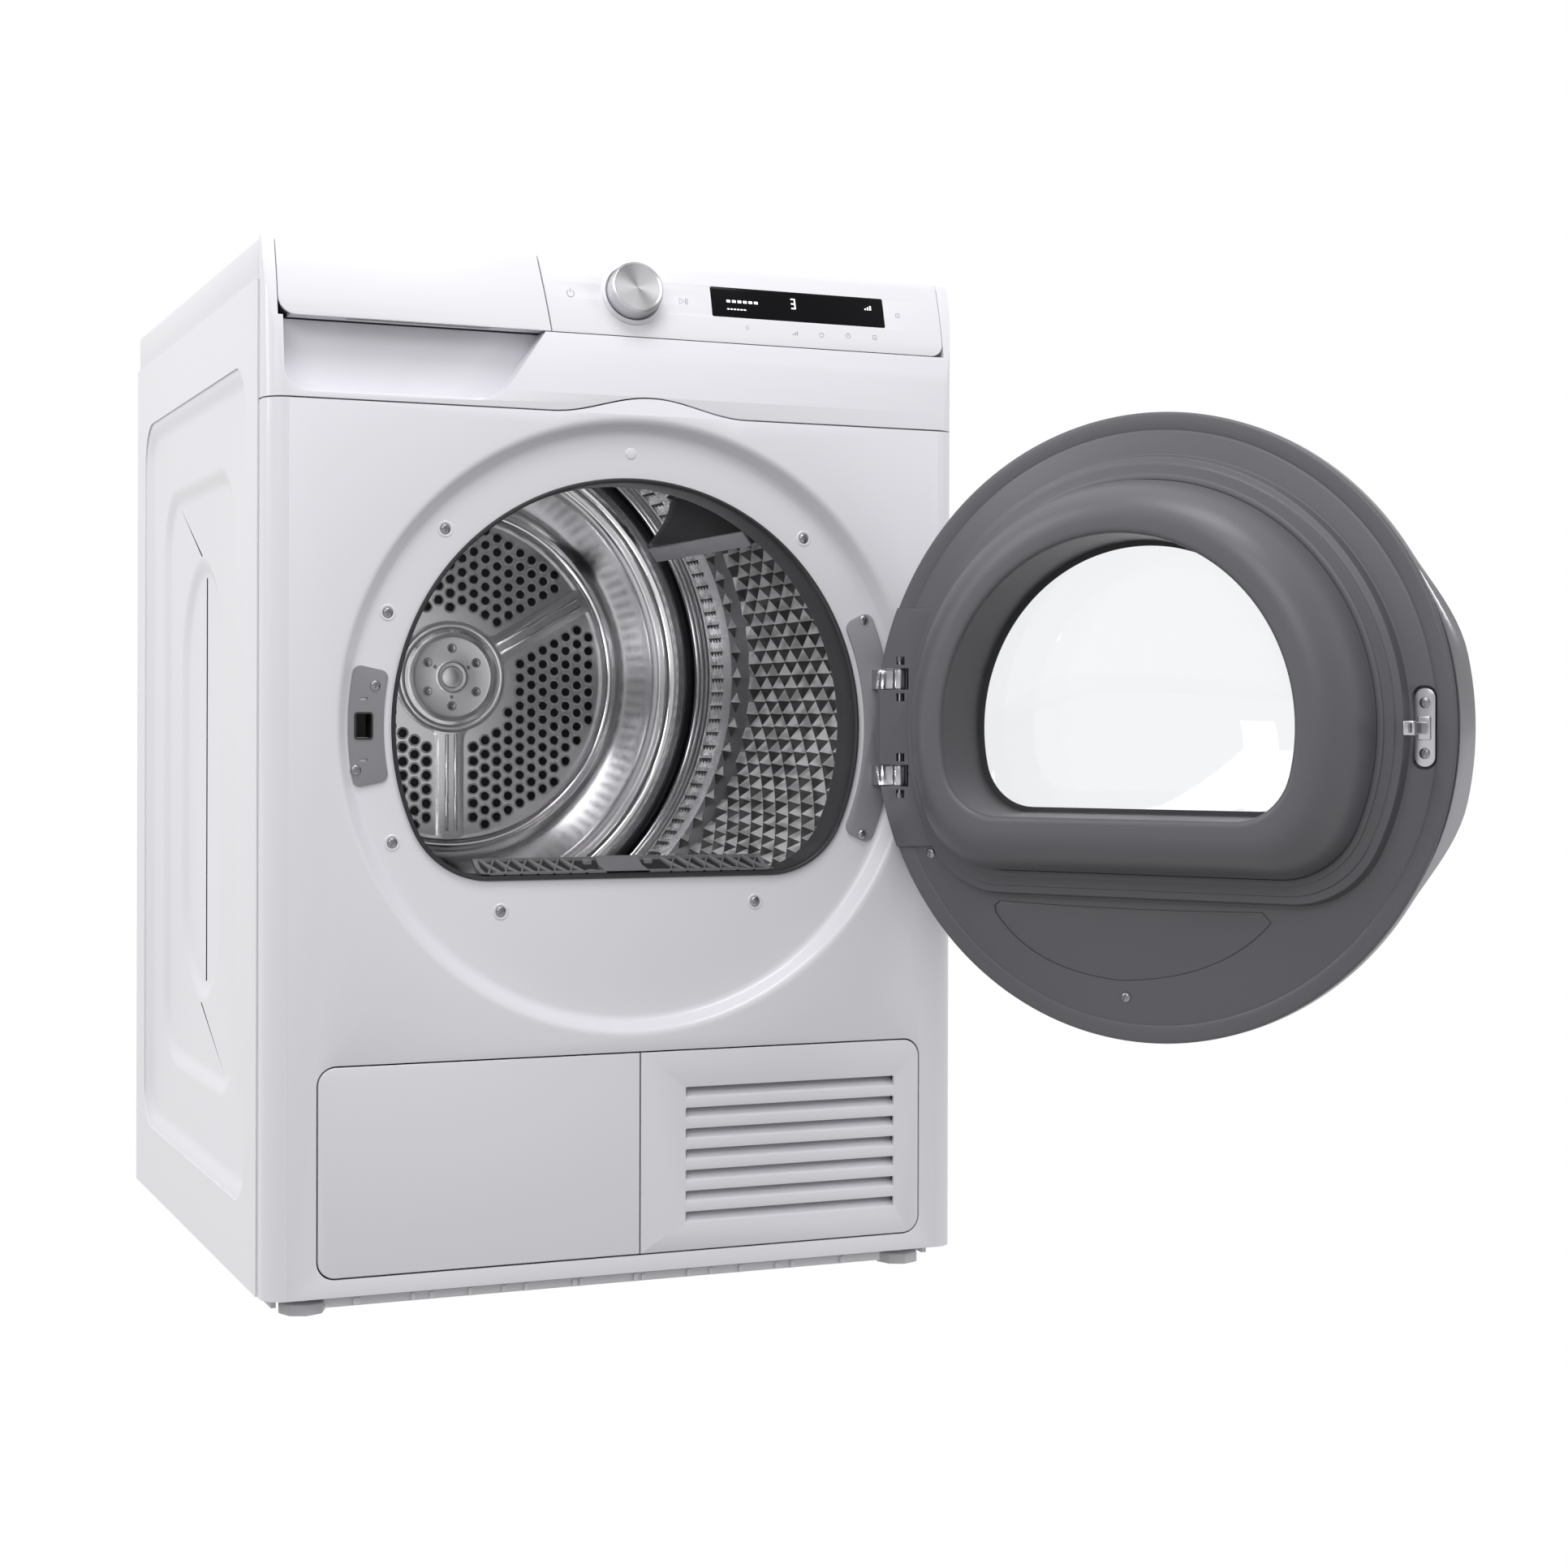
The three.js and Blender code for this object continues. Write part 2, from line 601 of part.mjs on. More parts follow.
// Lifters: three long paddles, wide at the drum's wall, with a blunt crest.
function lifters() {
  const from = -drumFront + lifterFrontGap;
  const to = drumBack - lifterBackGap;
  const base = drumRadius - drumWall - 2;
  const crest = base - lifterHeight;
  const shoulder = crestHalf + 5;
  const outline = new THREE.Shape();
  outline.moveTo(-lifterHalf, base - 2);
  outline.lineTo(lifterHalf, base - 2);
  outline.quadraticCurveTo(shoulder + 5, base - 18, shoulder, crest + 6);
  outline.lineTo(crestHalf, crest);
  outline.lineTo(-crestHalf, crest);
  outline.lineTo(-shoulder, crest + 6);
  outline.quadraticCurveTo(-shoulder - 5, base - 18, -lifterHalf, base - 2);
  for (let i = 0; i < 3; i += 1) {
    const turn = new THREE.Group();
    turn.position.set(drumX, 0, drumZ);
    turn.rotation.y = lifterAngle + (i * Math.PI * 2) / 3;
    group.add(turn);
    part(`drum_lifter_${i + 1}`, plate(outline, from, to), 'darkPlastic', turn);
  }
}

function feltSeal() {
  const inner = drumRadius - 16;
  const body = ringAlongY(inner, drumRadius - 3, -drumFront - 6, -drumFront - fitGap, drumX, drumZ, 32);
  part('drum_felt_seal', body, 'felt');
}

// Drive

const drumTurnGap = 1.6;

function beltOutline(grow) {
  const big = drumRadius + drumTurnGap + grow;
  const small = pulleyRadius + drumTurnGap + grow;
  const [dx, dz] = [motorX - drumX, motorZ - drumZ];
  const apart = Math.hypot(dx, dz);
  const heading = Math.atan2(dz, dx);
  const spread = Math.acos((big - small) / apart);
  const shape = new THREE.Shape();
  shape.absarc(drumX, drumZ, big, heading + spread, heading + Math.PI * 2 - spread);
  shape.absarc(motorX, motorZ, small, heading - spread, heading + spread);
  return shape;
}

function belt() {
  const [y0, y1] = [beltY - beltWidth / 2, beltY + beltWidth / 2];
  const settings = { curveSegments: 20 };
  const body = cut(plate(beltOutline(beltThickness), y0, y1, settings),
    plate(beltOutline(0), y0 - 1, y1 + 1, settings));
  part('drive_belt', body, 'rubber');
}

function motor() {
  const [y0, y1] = [beltY + 18, beltY + 134];
  const shell = turned(
    [[9, y0], [motorRadius - 10, y0], [motorRadius, y0 + 10], [motorRadius, y1 - 10],
      [motorRadius - 10, y1], [9, y1], [9, y0]],
    motorX,
    motorZ,
    16,
  );
  const foot = box(motorX - 44, motorX + 44, y0 + 14, y1 - 14, baseTop + fitGap, motorZ - 30);
  const core = rodAlongY(motorRadius - 4, y0 + 12, y1 - 12, motorX, motorZ, 16);
  const bore = rodAlongY(9, y0 - 1, y1 + 1, motorX, motorZ, 20);
  part('drive_motor', cut(join(shell, cut(foot, core)), bore), 'blackSteel');
  const half = beltWidth / 2 + 3;
  const shaft = turned(
    [[0, beltY - half], [pulleyRadius + 4, beltY - half], [pulleyRadius + 4, beltY - half + 2],
      [pulleyRadius, beltY - half + 2.5], [pulleyRadius, beltY + half - 2.5],
        [pulleyRadius + 4, beltY + half - 2],
      [pulleyRadius + 4, beltY + half], [6, beltY + half], [6, fanY + 30], [0, fanY + 30]],
    motorX,
    motorZ,
    20,
  );
  part('motor_shaft', shaft, 'zinc');
}

// Process fan on the motor's other end, in a scroll that feeds the duct behind the drum.
const fanY = backY - 100;
const fanRadius = 62;

function fan() {
  const blades = Array.from({ length: 6 }, (_, i) => {
    const blade = box(motorX + 20, motorX + fanRadius - 4, fanY + 3, fanY + 30, motorZ - 1, motorZ + 1);
    return blade.translate(-motorX, 0, -motorZ).rotate(0, (i * 360) / 6, 0).translate(motorX, 0, motorZ);
  });
  const back = ringAlongY(6.3, fanRadius, fanY, fanY + 3.5, motorX, motorZ, 18);
  const hub = ringAlongY(6.3, 22, fanY, fanY + 26, motorX, motorZ, 12);
  part('process_fan', join(back, hub, ...blades), 'darkPlastic');
  const [y0, y1] = [fanY - 6, fanY + 40];
  const outside = join(rodAlongY(fanRadius + 12, y0, y1, motorX, motorZ, 24),
    box(133, motorX, y0, y1, motorZ, motorZ + 74));
  const inside = join(rodAlongY(fanRadius + 9, y0 + 3, y1 - 3, motorX, motorZ, 24),
    box(132, motorX, y0 + 3, y1 - 3, motorZ + 30, motorZ + 71));
  const eye = rodAlongY(36, y1 - 5, y1 + 1, motorX, motorZ, 16);
  const shaftHole = rodAlongY(10, y0 - 1, y0 + 5, motorX, motorZ, 20);
  part('fan_housing', cut(outside, inside, eye, shaftHole), 'greyPlastic');
}

// Belt tensioner: an arm on the base's post, with a pulley that bears on the belt's outer side.
const armY = beltY + beltWidth / 2 + 6;
const armThickness = 5;
const armEye = 5.3;

function tensioner() {
  const [x, z] = idlerCentre();
  const [postX, postZ] = tensionerPost();
  const eyeRing = ringAlongY(armEye, 11, armY, armY + armThickness, postX, postZ, 20);
  const tipRing = rodAlongY(9, armY, armY + armThickness, x, z, 16);
  const blade = wallBetween([postX, postZ], [x, z], 6, armY, armY + armThickness);
  const postHole = rodAlongY(armEye, armY - 1, armY + armThickness + 1, postX, postZ, 20);
  const pin = rodAlongY(4, beltY - 9, armY + 1, x, z, 14);
  part('tensioner_arm', join(cut(join(eyeRing, blade), postHole), tipRing, pin), 'zinc');
  const half = beltWidth / 2 + 2;
  const wheel = turned(
    [[4.3, beltY - half], [idlerRadius + 2, beltY - half], [idlerRadius + 2, beltY - half + 1.5],
      [idlerRadius, beltY - half + 1.8], [idlerRadius, beltY + half - 1.8],
        [idlerRadius + 2, beltY + half - 1.5],
      [idlerRadius + 2, beltY + half], [4.3, beltY + half], [4.3, beltY - half]],
    x,
    z,
    16,
  );
  part('tensioner_pulley', wheel, 'darkPlastic');
}

function tensionerPost() {
  return [idlerCentre()[0] + 12, baseTop + 34];
}

// A flat bar of constant width between two points of the X-Z plane.
function wallBetween([xa, za], [xb, zb], halfWide, y0, y1) {
  const length = Math.hypot(xb - xa, zb - za);
  const [nx, nz] = [(-(zb - za) / length) * halfWide, ((xb - xa) / length) * halfWide];
  const points = [[xa + nx, za + nz], [xb + nx, zb + nz], [xb - nx, zb - nz], [xa - nx, za - nz]];
  return plate(new THREE.Shape(points.map(([u, v]) => new THREE.Vector2(u, v))), y0, y1);
}

// The pulley touches the belt's right-hand run from outside, a third of the way up from the motor.
function idlerCentre() {
  const [dx, dz] = [motorX - drumX, motorZ - drumZ];
  const apart = Math.hypot(dx, dz);
  const heading = Math.atan2(dz, dx);
  const big = drumRadius + drumTurnGap + beltThickness;
  const small = pulleyRadius + drumTurnGap + beltThickness;
  const normal = heading + Math.acos((big - small) / apart);
  const reach = idlerRadius + 0.4;
  const along = 34;
  const [nx, nz] = [Math.cos(normal), Math.sin(normal)];
  const footX = motorX + nx * small;
  const footZ = motorZ + nz * small;
  return [footX + nx * reach - nz * along, footZ + nz * reach + nx * along];
}

// Rollers that carry the drum's front edge, on pins in the front bulkhead.
const rollerPinRadius = 5;

function rollerCentre(side) {
  const angle = THREE.MathUtils.degToRad(rollerAngle);
  const distance = drumRadius + rollerRadius + drumTurnGap;
  return [drumX + side * distance * Math.sin(angle), drumZ - distance * Math.cos(angle)];
}

function frontRollers() {
  for (const [side, word] of [[-1, 'left'], [1, 'right']]) {
    const [x, z] = rollerCentre(side);
    const y0 = -drumFront + 12;
    const wheel = turned(
      [[rollerPinRadius + 0.3, y0], [rollerRadius - 1.5, y0], [rollerRadius, y0 + 1.5],
        [rollerRadius, y0 + 12.5],
        [rollerRadius - 1.5, y0 + 14], [rollerPinRadius + 0.3, y0 + 14], [rollerPinRadius + 0.3, y0]],
      x,
      z,
      20,
    );
    part(`drum_roller_${word}`, wheel, 'rubber');
  }
}

// Heat pump

function finnedBlock(name, y0, y1, finish) {
  const [left, right, low, high] = [-250, -34, 36, 186];
  const body = box(left, right, y0, y1, low, high);
  const count = 9;
  const pitch = (right - left) / count;
  const slots = Array.from({ length: count }, (_, i) => {
    const x = left + pitch * (i + 0.5);
    return box(x - pitch * 0.33, x + pitch * 0.33, y0 - 1, y1 + 1, low + 8, high - 8);
  });
  part(name, cut(body, ...slots), finish);
}

function heatPump() {
  finnedBlock('evaporator', frontY + 104, frontY + 214, 'aluminium');
  finnedBlock('condenser', frontY + 234, backY - 216, 'aluminium');
  const [front, back] = [frontY + 72, backY - 122];
  const outer = box(-264, -22, front, back, baseTop + fitGap, 202);
  const inner = box(-260, -26, front - 1, back - 4, baseTop + 4, 198);
  const outlet = box(-200, -80, back - 6, back + 1, 60, 170);
  part('heat_pump_housing', cut(outer, inner, outlet), 'greyPlastic');
  const cover = box(-262, -24, front - 6, front - fitGap, baseTop + 3, 200);
  const panelBead = box(-240, -46, front - 9, front - 5, 56, 178);
  const beadHollow = box(-232, -54, front - 10, front - 6.5, 64, 170);
  const leverHoles = leverPlaces.map(([x, z]) => rodAlongY(4.4, front - 12, front + 1, x, z, 16));
  part('heat_pump_cover', cut(join(cover, panelBead), beadHollow, ...leverHoles), 'darkPlastic');
  leverPlaces.forEach(([x, z], i) => {
    const y = front - 9.4;
    const stem = rodAlongY(4, y, front - 2, x, z, 16);
    const knob = rodAlongY(10, y - 4, y, x, z, 20);
    const arm = box(x - 4, x + 4, y - 4, y, z - 26, z);
    part(`cover_lever_${i + 1}`, join(stem, knob, arm), 'greyPlastic');
  });
}

const leverPlaces = [[-252, 150], [-34, 150]];

function compressor() {
  const [x, y] = [165, frontY + 172];
  const can = uprightTurned(
    [[0, 44], [48, 44], [60, 54], [62, 66], [62, 176], [56, 196], [38, 210], [14, 216], [0, 216]],
    x,
    y,
    18,
  );
  const feet = [0, 120, 240].map((angle) => {
    const bar = box(30, 86, -16, 16, 0, 4).rotate(0, 0, angle + 30);
    return bar.translate(x, y, 41);
  });
  const posts = [0, 120, 240].map((angle) => {
    const a = THREE.MathUtils.degToRad(angle + 30);
    return uprightRod(9, baseTop - 8 + fitGap, 42, x + 74 * Math.cos(a), y + 74 * Math.sin(a), 12);
  });
  part('compressor', join(can, ...feet, ...posts), 'blackSteel');
}

const inletX = halfWidth - 64;
const inletZ = coverBottom - 48;

function rearServices() {
  const pumpY = backY - 49;
  const pumpCase = box(-250, -196, pumpY - 25, pumpY + 25, baseTop + fitGap, 78);
  const pump = join(pumpCase, uprightRod(20, 77, 104, -223, pumpY, 20));
  part('condensate_pump', pump, 'blackPlastic');
  const [x0, x1, z0, z1] = [inletX - 20, inletX + 20, inletZ - 15, inletZ + 15];
  const inlet = join(box(x0, x1, backY - 30, backY - 0.4, z0, z1),
    box(x0 - 6, x1 + 6, backY - 6, backY - sheet - fitGap, z0 - 6, z1 + 6));
  const socket = box(x0 + 5, x1 - 5, backY - 22, backY + 1, z0 + 5, z1 - 5);
  part('mains_inlet', cut(inlet, socket), 'blackPlastic');
}

// Service panels below the door

function servicePanels() {
  const [y0, y1] = [frontY, frontY + panelThickness];
  const whole = (near, far) => plate(serviceOutline(0), near, far);
  const leftHalf = box(serviceLeft - 5, serviceSplit - panelGap / 2, y0 - 5, y1 + 40, 0, 400);
  const rightHalf = box(serviceSplit + panelGap / 2, serviceRight + 5, y0 - 5, y1 + 40, 0, 400);
  const stiffener = plate(roundedRect(serviceLeft + 14, serviceSplit - 14, serviceBottom + 12,
    serviceTop - 12, 8), y1 - 1, y1 + 6);
  const stiffenerHollow = plate(roundedRect(serviceLeft + 17, serviceSplit - 17, serviceBottom + 15,
    serviceTop - 15, 6), y1, y1 + 8);
  const latchTongue = box(serviceSplit - 12, serviceSplit - 7, y1 - 1, y1 + 11, latchZ - 8, latchZ + 8);
  const door = join(whole(y0, y1).intersect(leftHalf), cut(stiffener, stiffenerHollow), latchTongue);
  part('heat_pump_door', door, 'cabinet');
  const louvres = Array.from({ length: 7 }, (_, i) => {
    const z = serviceBottom + 24.5 + i * 17;
    return box(50, 241, y0 - 1, y1 + 1, z, z + 7);
  });
  const latchY = y1 + 11.4;
  const body = box(serviceSplit - 18, serviceSplit - 1, latchY + 3.4, latchY + 22, latchZ - 12,
    latchZ + 12);
  const bore = box(serviceSplit - 14.4, serviceSplit - 4.6, latchY, latchY + 19, latchZ - 8.4,
    latchZ + 8.4);
  const ledge = box(serviceSplit - 18, serviceSplit + 30, latchY + 14, latchY + 22, latchZ - 12,
    latchZ + 12);
  const web = box(serviceSplit + 14, serviceSplit + 30, y1 - 1, latchY + 22, latchZ - 12, latchZ + 12);
  const grille = cut(whole(y0, y1).intersect(rightHalf), ...louvres);
  part('cooling_grille', join(grille, cut(join(body, ledge), bore), web), 'cabinet');
  const plunger = box(serviceSplit - 14, serviceSplit - 5, latchY, latchY + 15, latchZ - 8, latchZ + 8);
  part('push_latch_plunger', plunger, 'darkPlastic');
}

const latchZ = 114;

// Controls

function controlPanel() {
  const right = halfWidth - fasciaInset - 0.8;
  const left = controlSplit + panelGap / 2;
  const [low, high] = [fasciaBottom, height];
  const corners = plate(roundedRect(left - 20, right, low, high + 20, 12), frontY - 1, frontY + 60);
  const band = leaningBand(left, right, low, high, 0, fasciaThickness).intersect(corners);
  const window = box(displayLeft, displayRight, frontY - 2, frontY + 60, displayBottom, displayTop);
  const shaftHole = knobFrame(rodAlongY(5.5, -10, 20, 0, 0, 20));
  const collar = knobFrame(ringAlongY(knobRadius + 0.6, knobRadius + 3, -3, 1, 0, 0, 24));
  part('control_panel', cut(join(band, collar), window, shaftHole), 'fascia');
  const gap = fitGap;
  const glass = leaningBand(displayLeft + gap, displayRight - gap, displayBottom + gap, displayTop - gap,
    0, fasciaThickness);
  part('display_window', glass, 'blackGlass');
  const board = box(-50, 270, returnY + 6, returnY + 8, fasciaBottom - 10, coverBottom + 13);
  const chips = [[-20, 14], [70, 29], [120, 4], [190, 29], [240, 9]].map(([x, rise]) =>
    box(x, x + 22, returnY + 7, returnY + 12, fasciaBottom + rise - 10, fasciaBottom + rise + 8));
  const encoder = cut(rodAlongY(9, 6, 24, 0, 0, 12), rodAlongY(4.4, 5, 17, 0, 0, 12));
  const spare = box(-60, 280, returnY + 8, returnY + 60, seamHeight, height + 50);
  part('control_board', join(board, ...chips, cut(knobFrame(encoder), spare)), 'board');
}

// Places a piece made around the Y axis on the knob's axis, square to the leaning front. y = 0 is the panel's face.
function knobFrame(body) {
  const tilt = Math.atan((knobZ - seamHeight) / leanRadius);
  const degrees = THREE.MathUtils.radToDeg(tilt);
  return body.rotate(-degrees, 0, 0).translate(knobX, frontY + lean(knobZ), knobZ);
}

function programKnob() {
  const cap = turned(
    [[0, -knobHeight + 0.8], [8, -knobHeight], [knobRadius - 2, -knobHeight - 1],
      [knobRadius - 0.6, -knobHeight + 0.4], [knobRadius, -0.6],
      [3.5, -0.6], [3.5, 11], [0, 11]],
    0,
    0,
    24,
  );
  part('program_knob', knobFrame(cap), 'brushed');
}

// Water tank: its leaning front is part of the drawer that slides out.
function waterTank() {
  const left = -halfWidth + fasciaInset + 0.8;
  const right = controlSplit - panelGap / 2;
  const corners = plate(roundedRect(left, right + 20, fasciaBottom, height + 20, 14), frontY - 1,
    frontY + 60);
  const face = leaningBand(left, right, fasciaBottom, height, 0, fasciaThickness).intersect(corners);
  const lip = leaningBand(left + 12, right - 4, fasciaBottom, fasciaBottom + 2.5, fasciaThickness - 1, 16);
  const stem = box(left + 20, right - 20, frontY + 6, tankFront + 1, fasciaBottom + 6, coverBottom - 8);
  const frontPiece = cut(join(face, lip, stem),
    leaningBand(left - 5, right + 5, fasciaBottom - 2, height + 2, -20, 0));
  const [x0, x1, y0, y1] = [left + 8, right - 8, tankFront, tankFront + tankLength];
  const [z0, z1] = [fasciaBottom + 4, coverBottom + 12];
  const tank = box(x0, x1, y0, y1, z0, z1);
  const inside = box(x0 + tankWall, x1 - tankWall, y0 + tankWall, y1 - tankWall, z0 + tankWall,
    z1 - tankWall);
  const filler = box(x0 + 60, x1 - 60, y1 - 70, y1 - 20, z1 - 10, z1 + 1);
  part('water_tank', join(frontPiece, cut(tank, inside, filler)), 'fascia');
  const outer = box(x0 - 5, x1 + 5, returnY + 14, y1 + 8, z0 - 3.4, z1 + 1);
  const hollow = box(x0 - 2, x1 + 2, returnY + 13, y1 + 4, z0 - 0.9, z1 + 2);
  part('tank_tray', cut(outer, hollow), 'greyPlastic');
}

const tankFront = returnY + 2;
const tankLength = backY - tankBackGap - tankFront;
const catchX = doorX - 228;

// Door: modelled closed, then swung open about the hinge's axis.

function door() {
  const hinge = new THREE.Group();
  hinge.position.set(hingeX, frontY - hingeForward, 0);
  hinge.rotation.z = THREE.MathUtils.degToRad(openAngle);
  group.add(hinge);
  const closed = new THREE.Group();
  closed.position.set(-hingeX, -frontY + hingeForward, 0);
  hinge.add(closed);
  doorRing(closed);
  doorFrame(closed);
  doorPanes(closed);
  doorStriker(closed);
  hingeLeaf(closed);
}

// Room for the cabinet's hinge ears at the door's right-hand edge.
function hingePocket(deep) {
  return box(hingeX - 18, hingeX + 30, frontY - deep, frontY + 20, doorZ - hingeSpread - 30,
    doorZ + hingeSpread + 30);
}

function doorRing(parent) {
  const y = (forward) => frontY - forward;
  const profile = [
    [doorRadius - 1, y(14)], [doorRadius, y(18)], [doorRadius - 10, y(23)], [doorRadius - 20, y(29)],
    [doorRadius - 30, y(38)], [doorRadius - 40, y(44)], [doorRadius - 47, y(doorFront)],
      [186, y(doorFront)],
    [179, y(43)], [178, y(30)], [182, y(22.3)], [206, y(22.3)], [236, y(14)], [doorRadius - 1, y(14)],
  ];
  const ring = turned(profile, doorX, doorZ, 36);
  const flare = rodAlongY(doorRadius + 12, y(40), y(24), doorX, doorZ, 36);
  const zone = box(doorX - 300, doorX - 170, y(60), y(0), doorZ - 145, doorZ + 145);
  const reach = cut(flare.intersect(zone), rodAlongY(doorRadius - 34, y(60), y(0), doorX, doorZ, 36));
  part('door_ring', cut(join(ring, reach), hingePocket(20)), 'brushed', parent);
}

function doorFrame(parent) {
  const y = (forward) => frontY - forward;
  const outer = doorRadius;
  const profile = [
    [170, y(22)], [206, y(22)], [236, y(13.7)], [outer - 1, y(13.7)], [outer, y(12)], [outer, y(8)],
      [outer - 2, y(doorInner)],
    [219, y(doorInner)], [216, y(-6)], [213, y(-7)], [170, y(-7)], [170, y(22)],
  ];
  const flange = turned(profile, doorX, doorZ, 36);
  const bevel = 26;
  const grow = bowlRadius - mouthRadius;
  const outline = mouthOutline(grow - bevel);
  const settings = { bevelEnabled: true, bevelThickness: bevel, bevelSize: bevel, bevelSegments: 3 };
  const bowl = plate(outline, y(-7) - 8, y(-bowlTip) - bevel, settings);
  const back = box(doorX - 300, doorX + 300, y(60), y(18), doorZ - 300, doorZ + 300);
  const fill = turned([[0, y(22)], [180, y(22)], [180, y(-7)], [0, y(-7)]], doorX, doorZ, 36);
  const tunnel = plate(mouthOutline(grow - rimWidth), y(60), y(-bowlTip) + 10);
  const seat = plate(mouthOutline(grow - rimWidth + 8), y(60), y(1));
  const body = cut(join(flange, fill, bowl), back.translate(0, -4, 0), tunnel, seat, hingePocket(20),
    strikerSeat());
  part('door_inner_frame', body, 'darkPlastic', parent);
}

function strikerSeat() {
  return box(catchX - 10, catchX + 10, frontY - doorInner - 3, frontY + 5, doorZ - 32, doorZ + 32);
}

function doorPanes(parent) {
  const y = (forward) => frontY - forward;
  const grow = bowlRadius - mouthRadius - rimWidth;
  const inner = plate(mouthOutline(grow + 8 - fitGap), y(2 + paneThickness), y(2));
  part('inner_pane', inner, 'glass', parent);
  part('outer_pane', rodAlongY(178 - fitGap, y(doorFront - 4), y(doorFront - 8), doorX, doorZ, 36),
    'glass', parent);
  const groove = bowlRadius - mouthRadius;
  const seal = cut(plate(mouthOutline(groove + 6), y(-7) + fitGap, y(-7) + 2.4),
    plate(mouthOutline(groove + fitGap), y(0), y(-20)));
  part('door_seal', seal, 'rubber', parent);
}

function doorStriker(parent) {
  const base = frontY - doorInner - 3 + fitGap;
  const shape = roundedRect(catchX - 9, catchX + 9, doorZ - 30, doorZ + 30, 8);
  const hook = join(
    box(catchX - 3, catchX + 3, base + 1, floorY + 12, doorZ - 6, doorZ + 6),
    box(catchX - 3, catchX + 6, floorY + 6, floorY + 12, doorZ - 6, doorZ + 6),
  );
  part('door_striker', join(plate(shape, base, base + 2), hook), 'steel', parent);
}

const pinRadius = 3;
const knuckleRadius = 6;
const knuckleHalf = 9;

// The door's hinge leaf: two eyes on the pin, and the plate that ties them to the door.
function hingeLeaf(parent) {
  const axisY = frontY - hingeForward;
  const bores = [];
  const pieces = [];
  for (const sign of [1, -1]) {
    const middle = doorZ + sign * hingeSpread;
    const [z0, z1] = [middle - knuckleHalf, middle + knuckleHalf];
    pieces.push(uprightRod(knuckleRadius, z0, z1, hingeX, axisY, 16));
    pieces.push(box(hingeX - 17, hingeX, axisY - 7.4, axisY - 4, z0, z1));
    bores.push(uprightRod(pinRadius + 0.3, z0 - 1, z1 + 1, hingeX, axisY, 16));
  }
  const reach = hingeSpread + knuckleHalf;
  const strap = box(hingeX - 17.4, hingeX - 13, axisY - 7.4, frontY - doorInner + 1, doorZ - reach,
    doorZ + reach);
  part('hinge_leaf', cut(join(...pieces, strap), ...bores), 'steel', parent);
}

// Hinge bracket on the recess's floor, with two pairs of ears and a pin through each.
function hingeBracket() {
  const axisY = frontY - hingeForward;
  const base = floorY - fitGap;
  const inner = mouthRadius + 4;
  const outer = recessRadius - recessSlope - 4;
  const band = ringAlongY(inner, outer, base - 1.8, base, doorX, doorZ, 36);
  const zone = box(doorX + 120, doorX + 260, base - 5, base + 5, doorZ - 104, doorZ + 104);
  let body = band.intersect(zone);
  for (const sign of [1, -1]) {
    for (const side of [1, -1]) {
      const middle = doorZ + sign * hingeSpread + side * (knuckleHalf + 2.4);
      const ear = join(
        uprightRod(knuckleRadius, middle - 2, middle + 2, hingeX, axisY, 16),
        box(hingeX - 10, hingeX - 3, axisY, base - 0.2, middle - 2, middle + 2),
      );
      body = body.add(ear);
    }
    const bore = uprightRod(pinRadius + 0.1, doorZ + sign * hingeSpread - 20,
      doorZ + sign * hingeSpread + 20, hingeX, axisY, 16);
    body = cut(body, bore);
  }
  part('hinge_bracket', body, 'greyPlastic');
  const pinReach = hingeSpread + 15;
  part('hinge_pin', uprightRod(pinRadius, doorZ - pinReach, doorZ + pinReach, hingeX, axisY, 16), 'zinc');
}

// Catch: a plate on the recess's floor, a box behind it, and a sprung pawl that holds the striker.
function doorCatch() {
  const base = floorY - fitGap;
  const shape = catchPlateOutline();
  const back = floorY + sheet + fitGap;
  const neck = box(catchX - 8, catchX + 8, base - 1, back + 1, doorZ - 12, doorZ + 12);
  const shell = box(catchX - 14, catchX + 12, back, back + 24, doorZ - 22, doorZ + 22);
  const throat = box(catchX - 6, catchX + 6.6, base - 4, back + 1, doorZ - 10, doorZ + 10);
  const hollow = box(catchX - 8, catchX + 8, back + 1, back + 20, doorZ - 18, doorZ + 18);
  part('door_catch', cut(join(plate(shape, base - 1.5, base), neck, shell), throat, hollow), 'greyPlastic');
  const pawl = box(catchX - 6, catchX + 6, back + 4, back + 12, doorZ - 17, doorZ - 9);
  part('catch_pawl', pawl, 'zinc');
}

// The catch plate follows the recess: a stretch of ring with round ends.
function catchPlateOutline() {
  const [inner, outer, reach] = [mouthRadius + 6, recessRadius - recessSlope - 1, 0.24];
  const shape = new THREE.Shape();
  shape.absarc(doorX, doorZ, outer, Math.PI - reach, Math.PI + reach);
  shape.absarc(doorX, doorZ, inner, Math.PI + reach, Math.PI - reach, true);
  return shape;
}

function feet() {
  const footX = halfWidth - footInset;
  const footY = backY - footInset;
  for (const [y, end] of [[-footY, 'front'], [footY, 'rear']]) {
    for (const [x, side] of [[-footX, 'left'], [footX, 'right']]) {
      const pad = uprightTurned([[0, 0], [footRadius - 2, 0], [footRadius, 2], [footRadius, footPad],
        [0, footPad]], x, y, 8);
      part(`foot_${end}_${side}`, join(pad, uprightRod(footStem, footPad - 1, baseTop + 12, x, y, 12)),
        'greyPlastic');
    }
  }
}

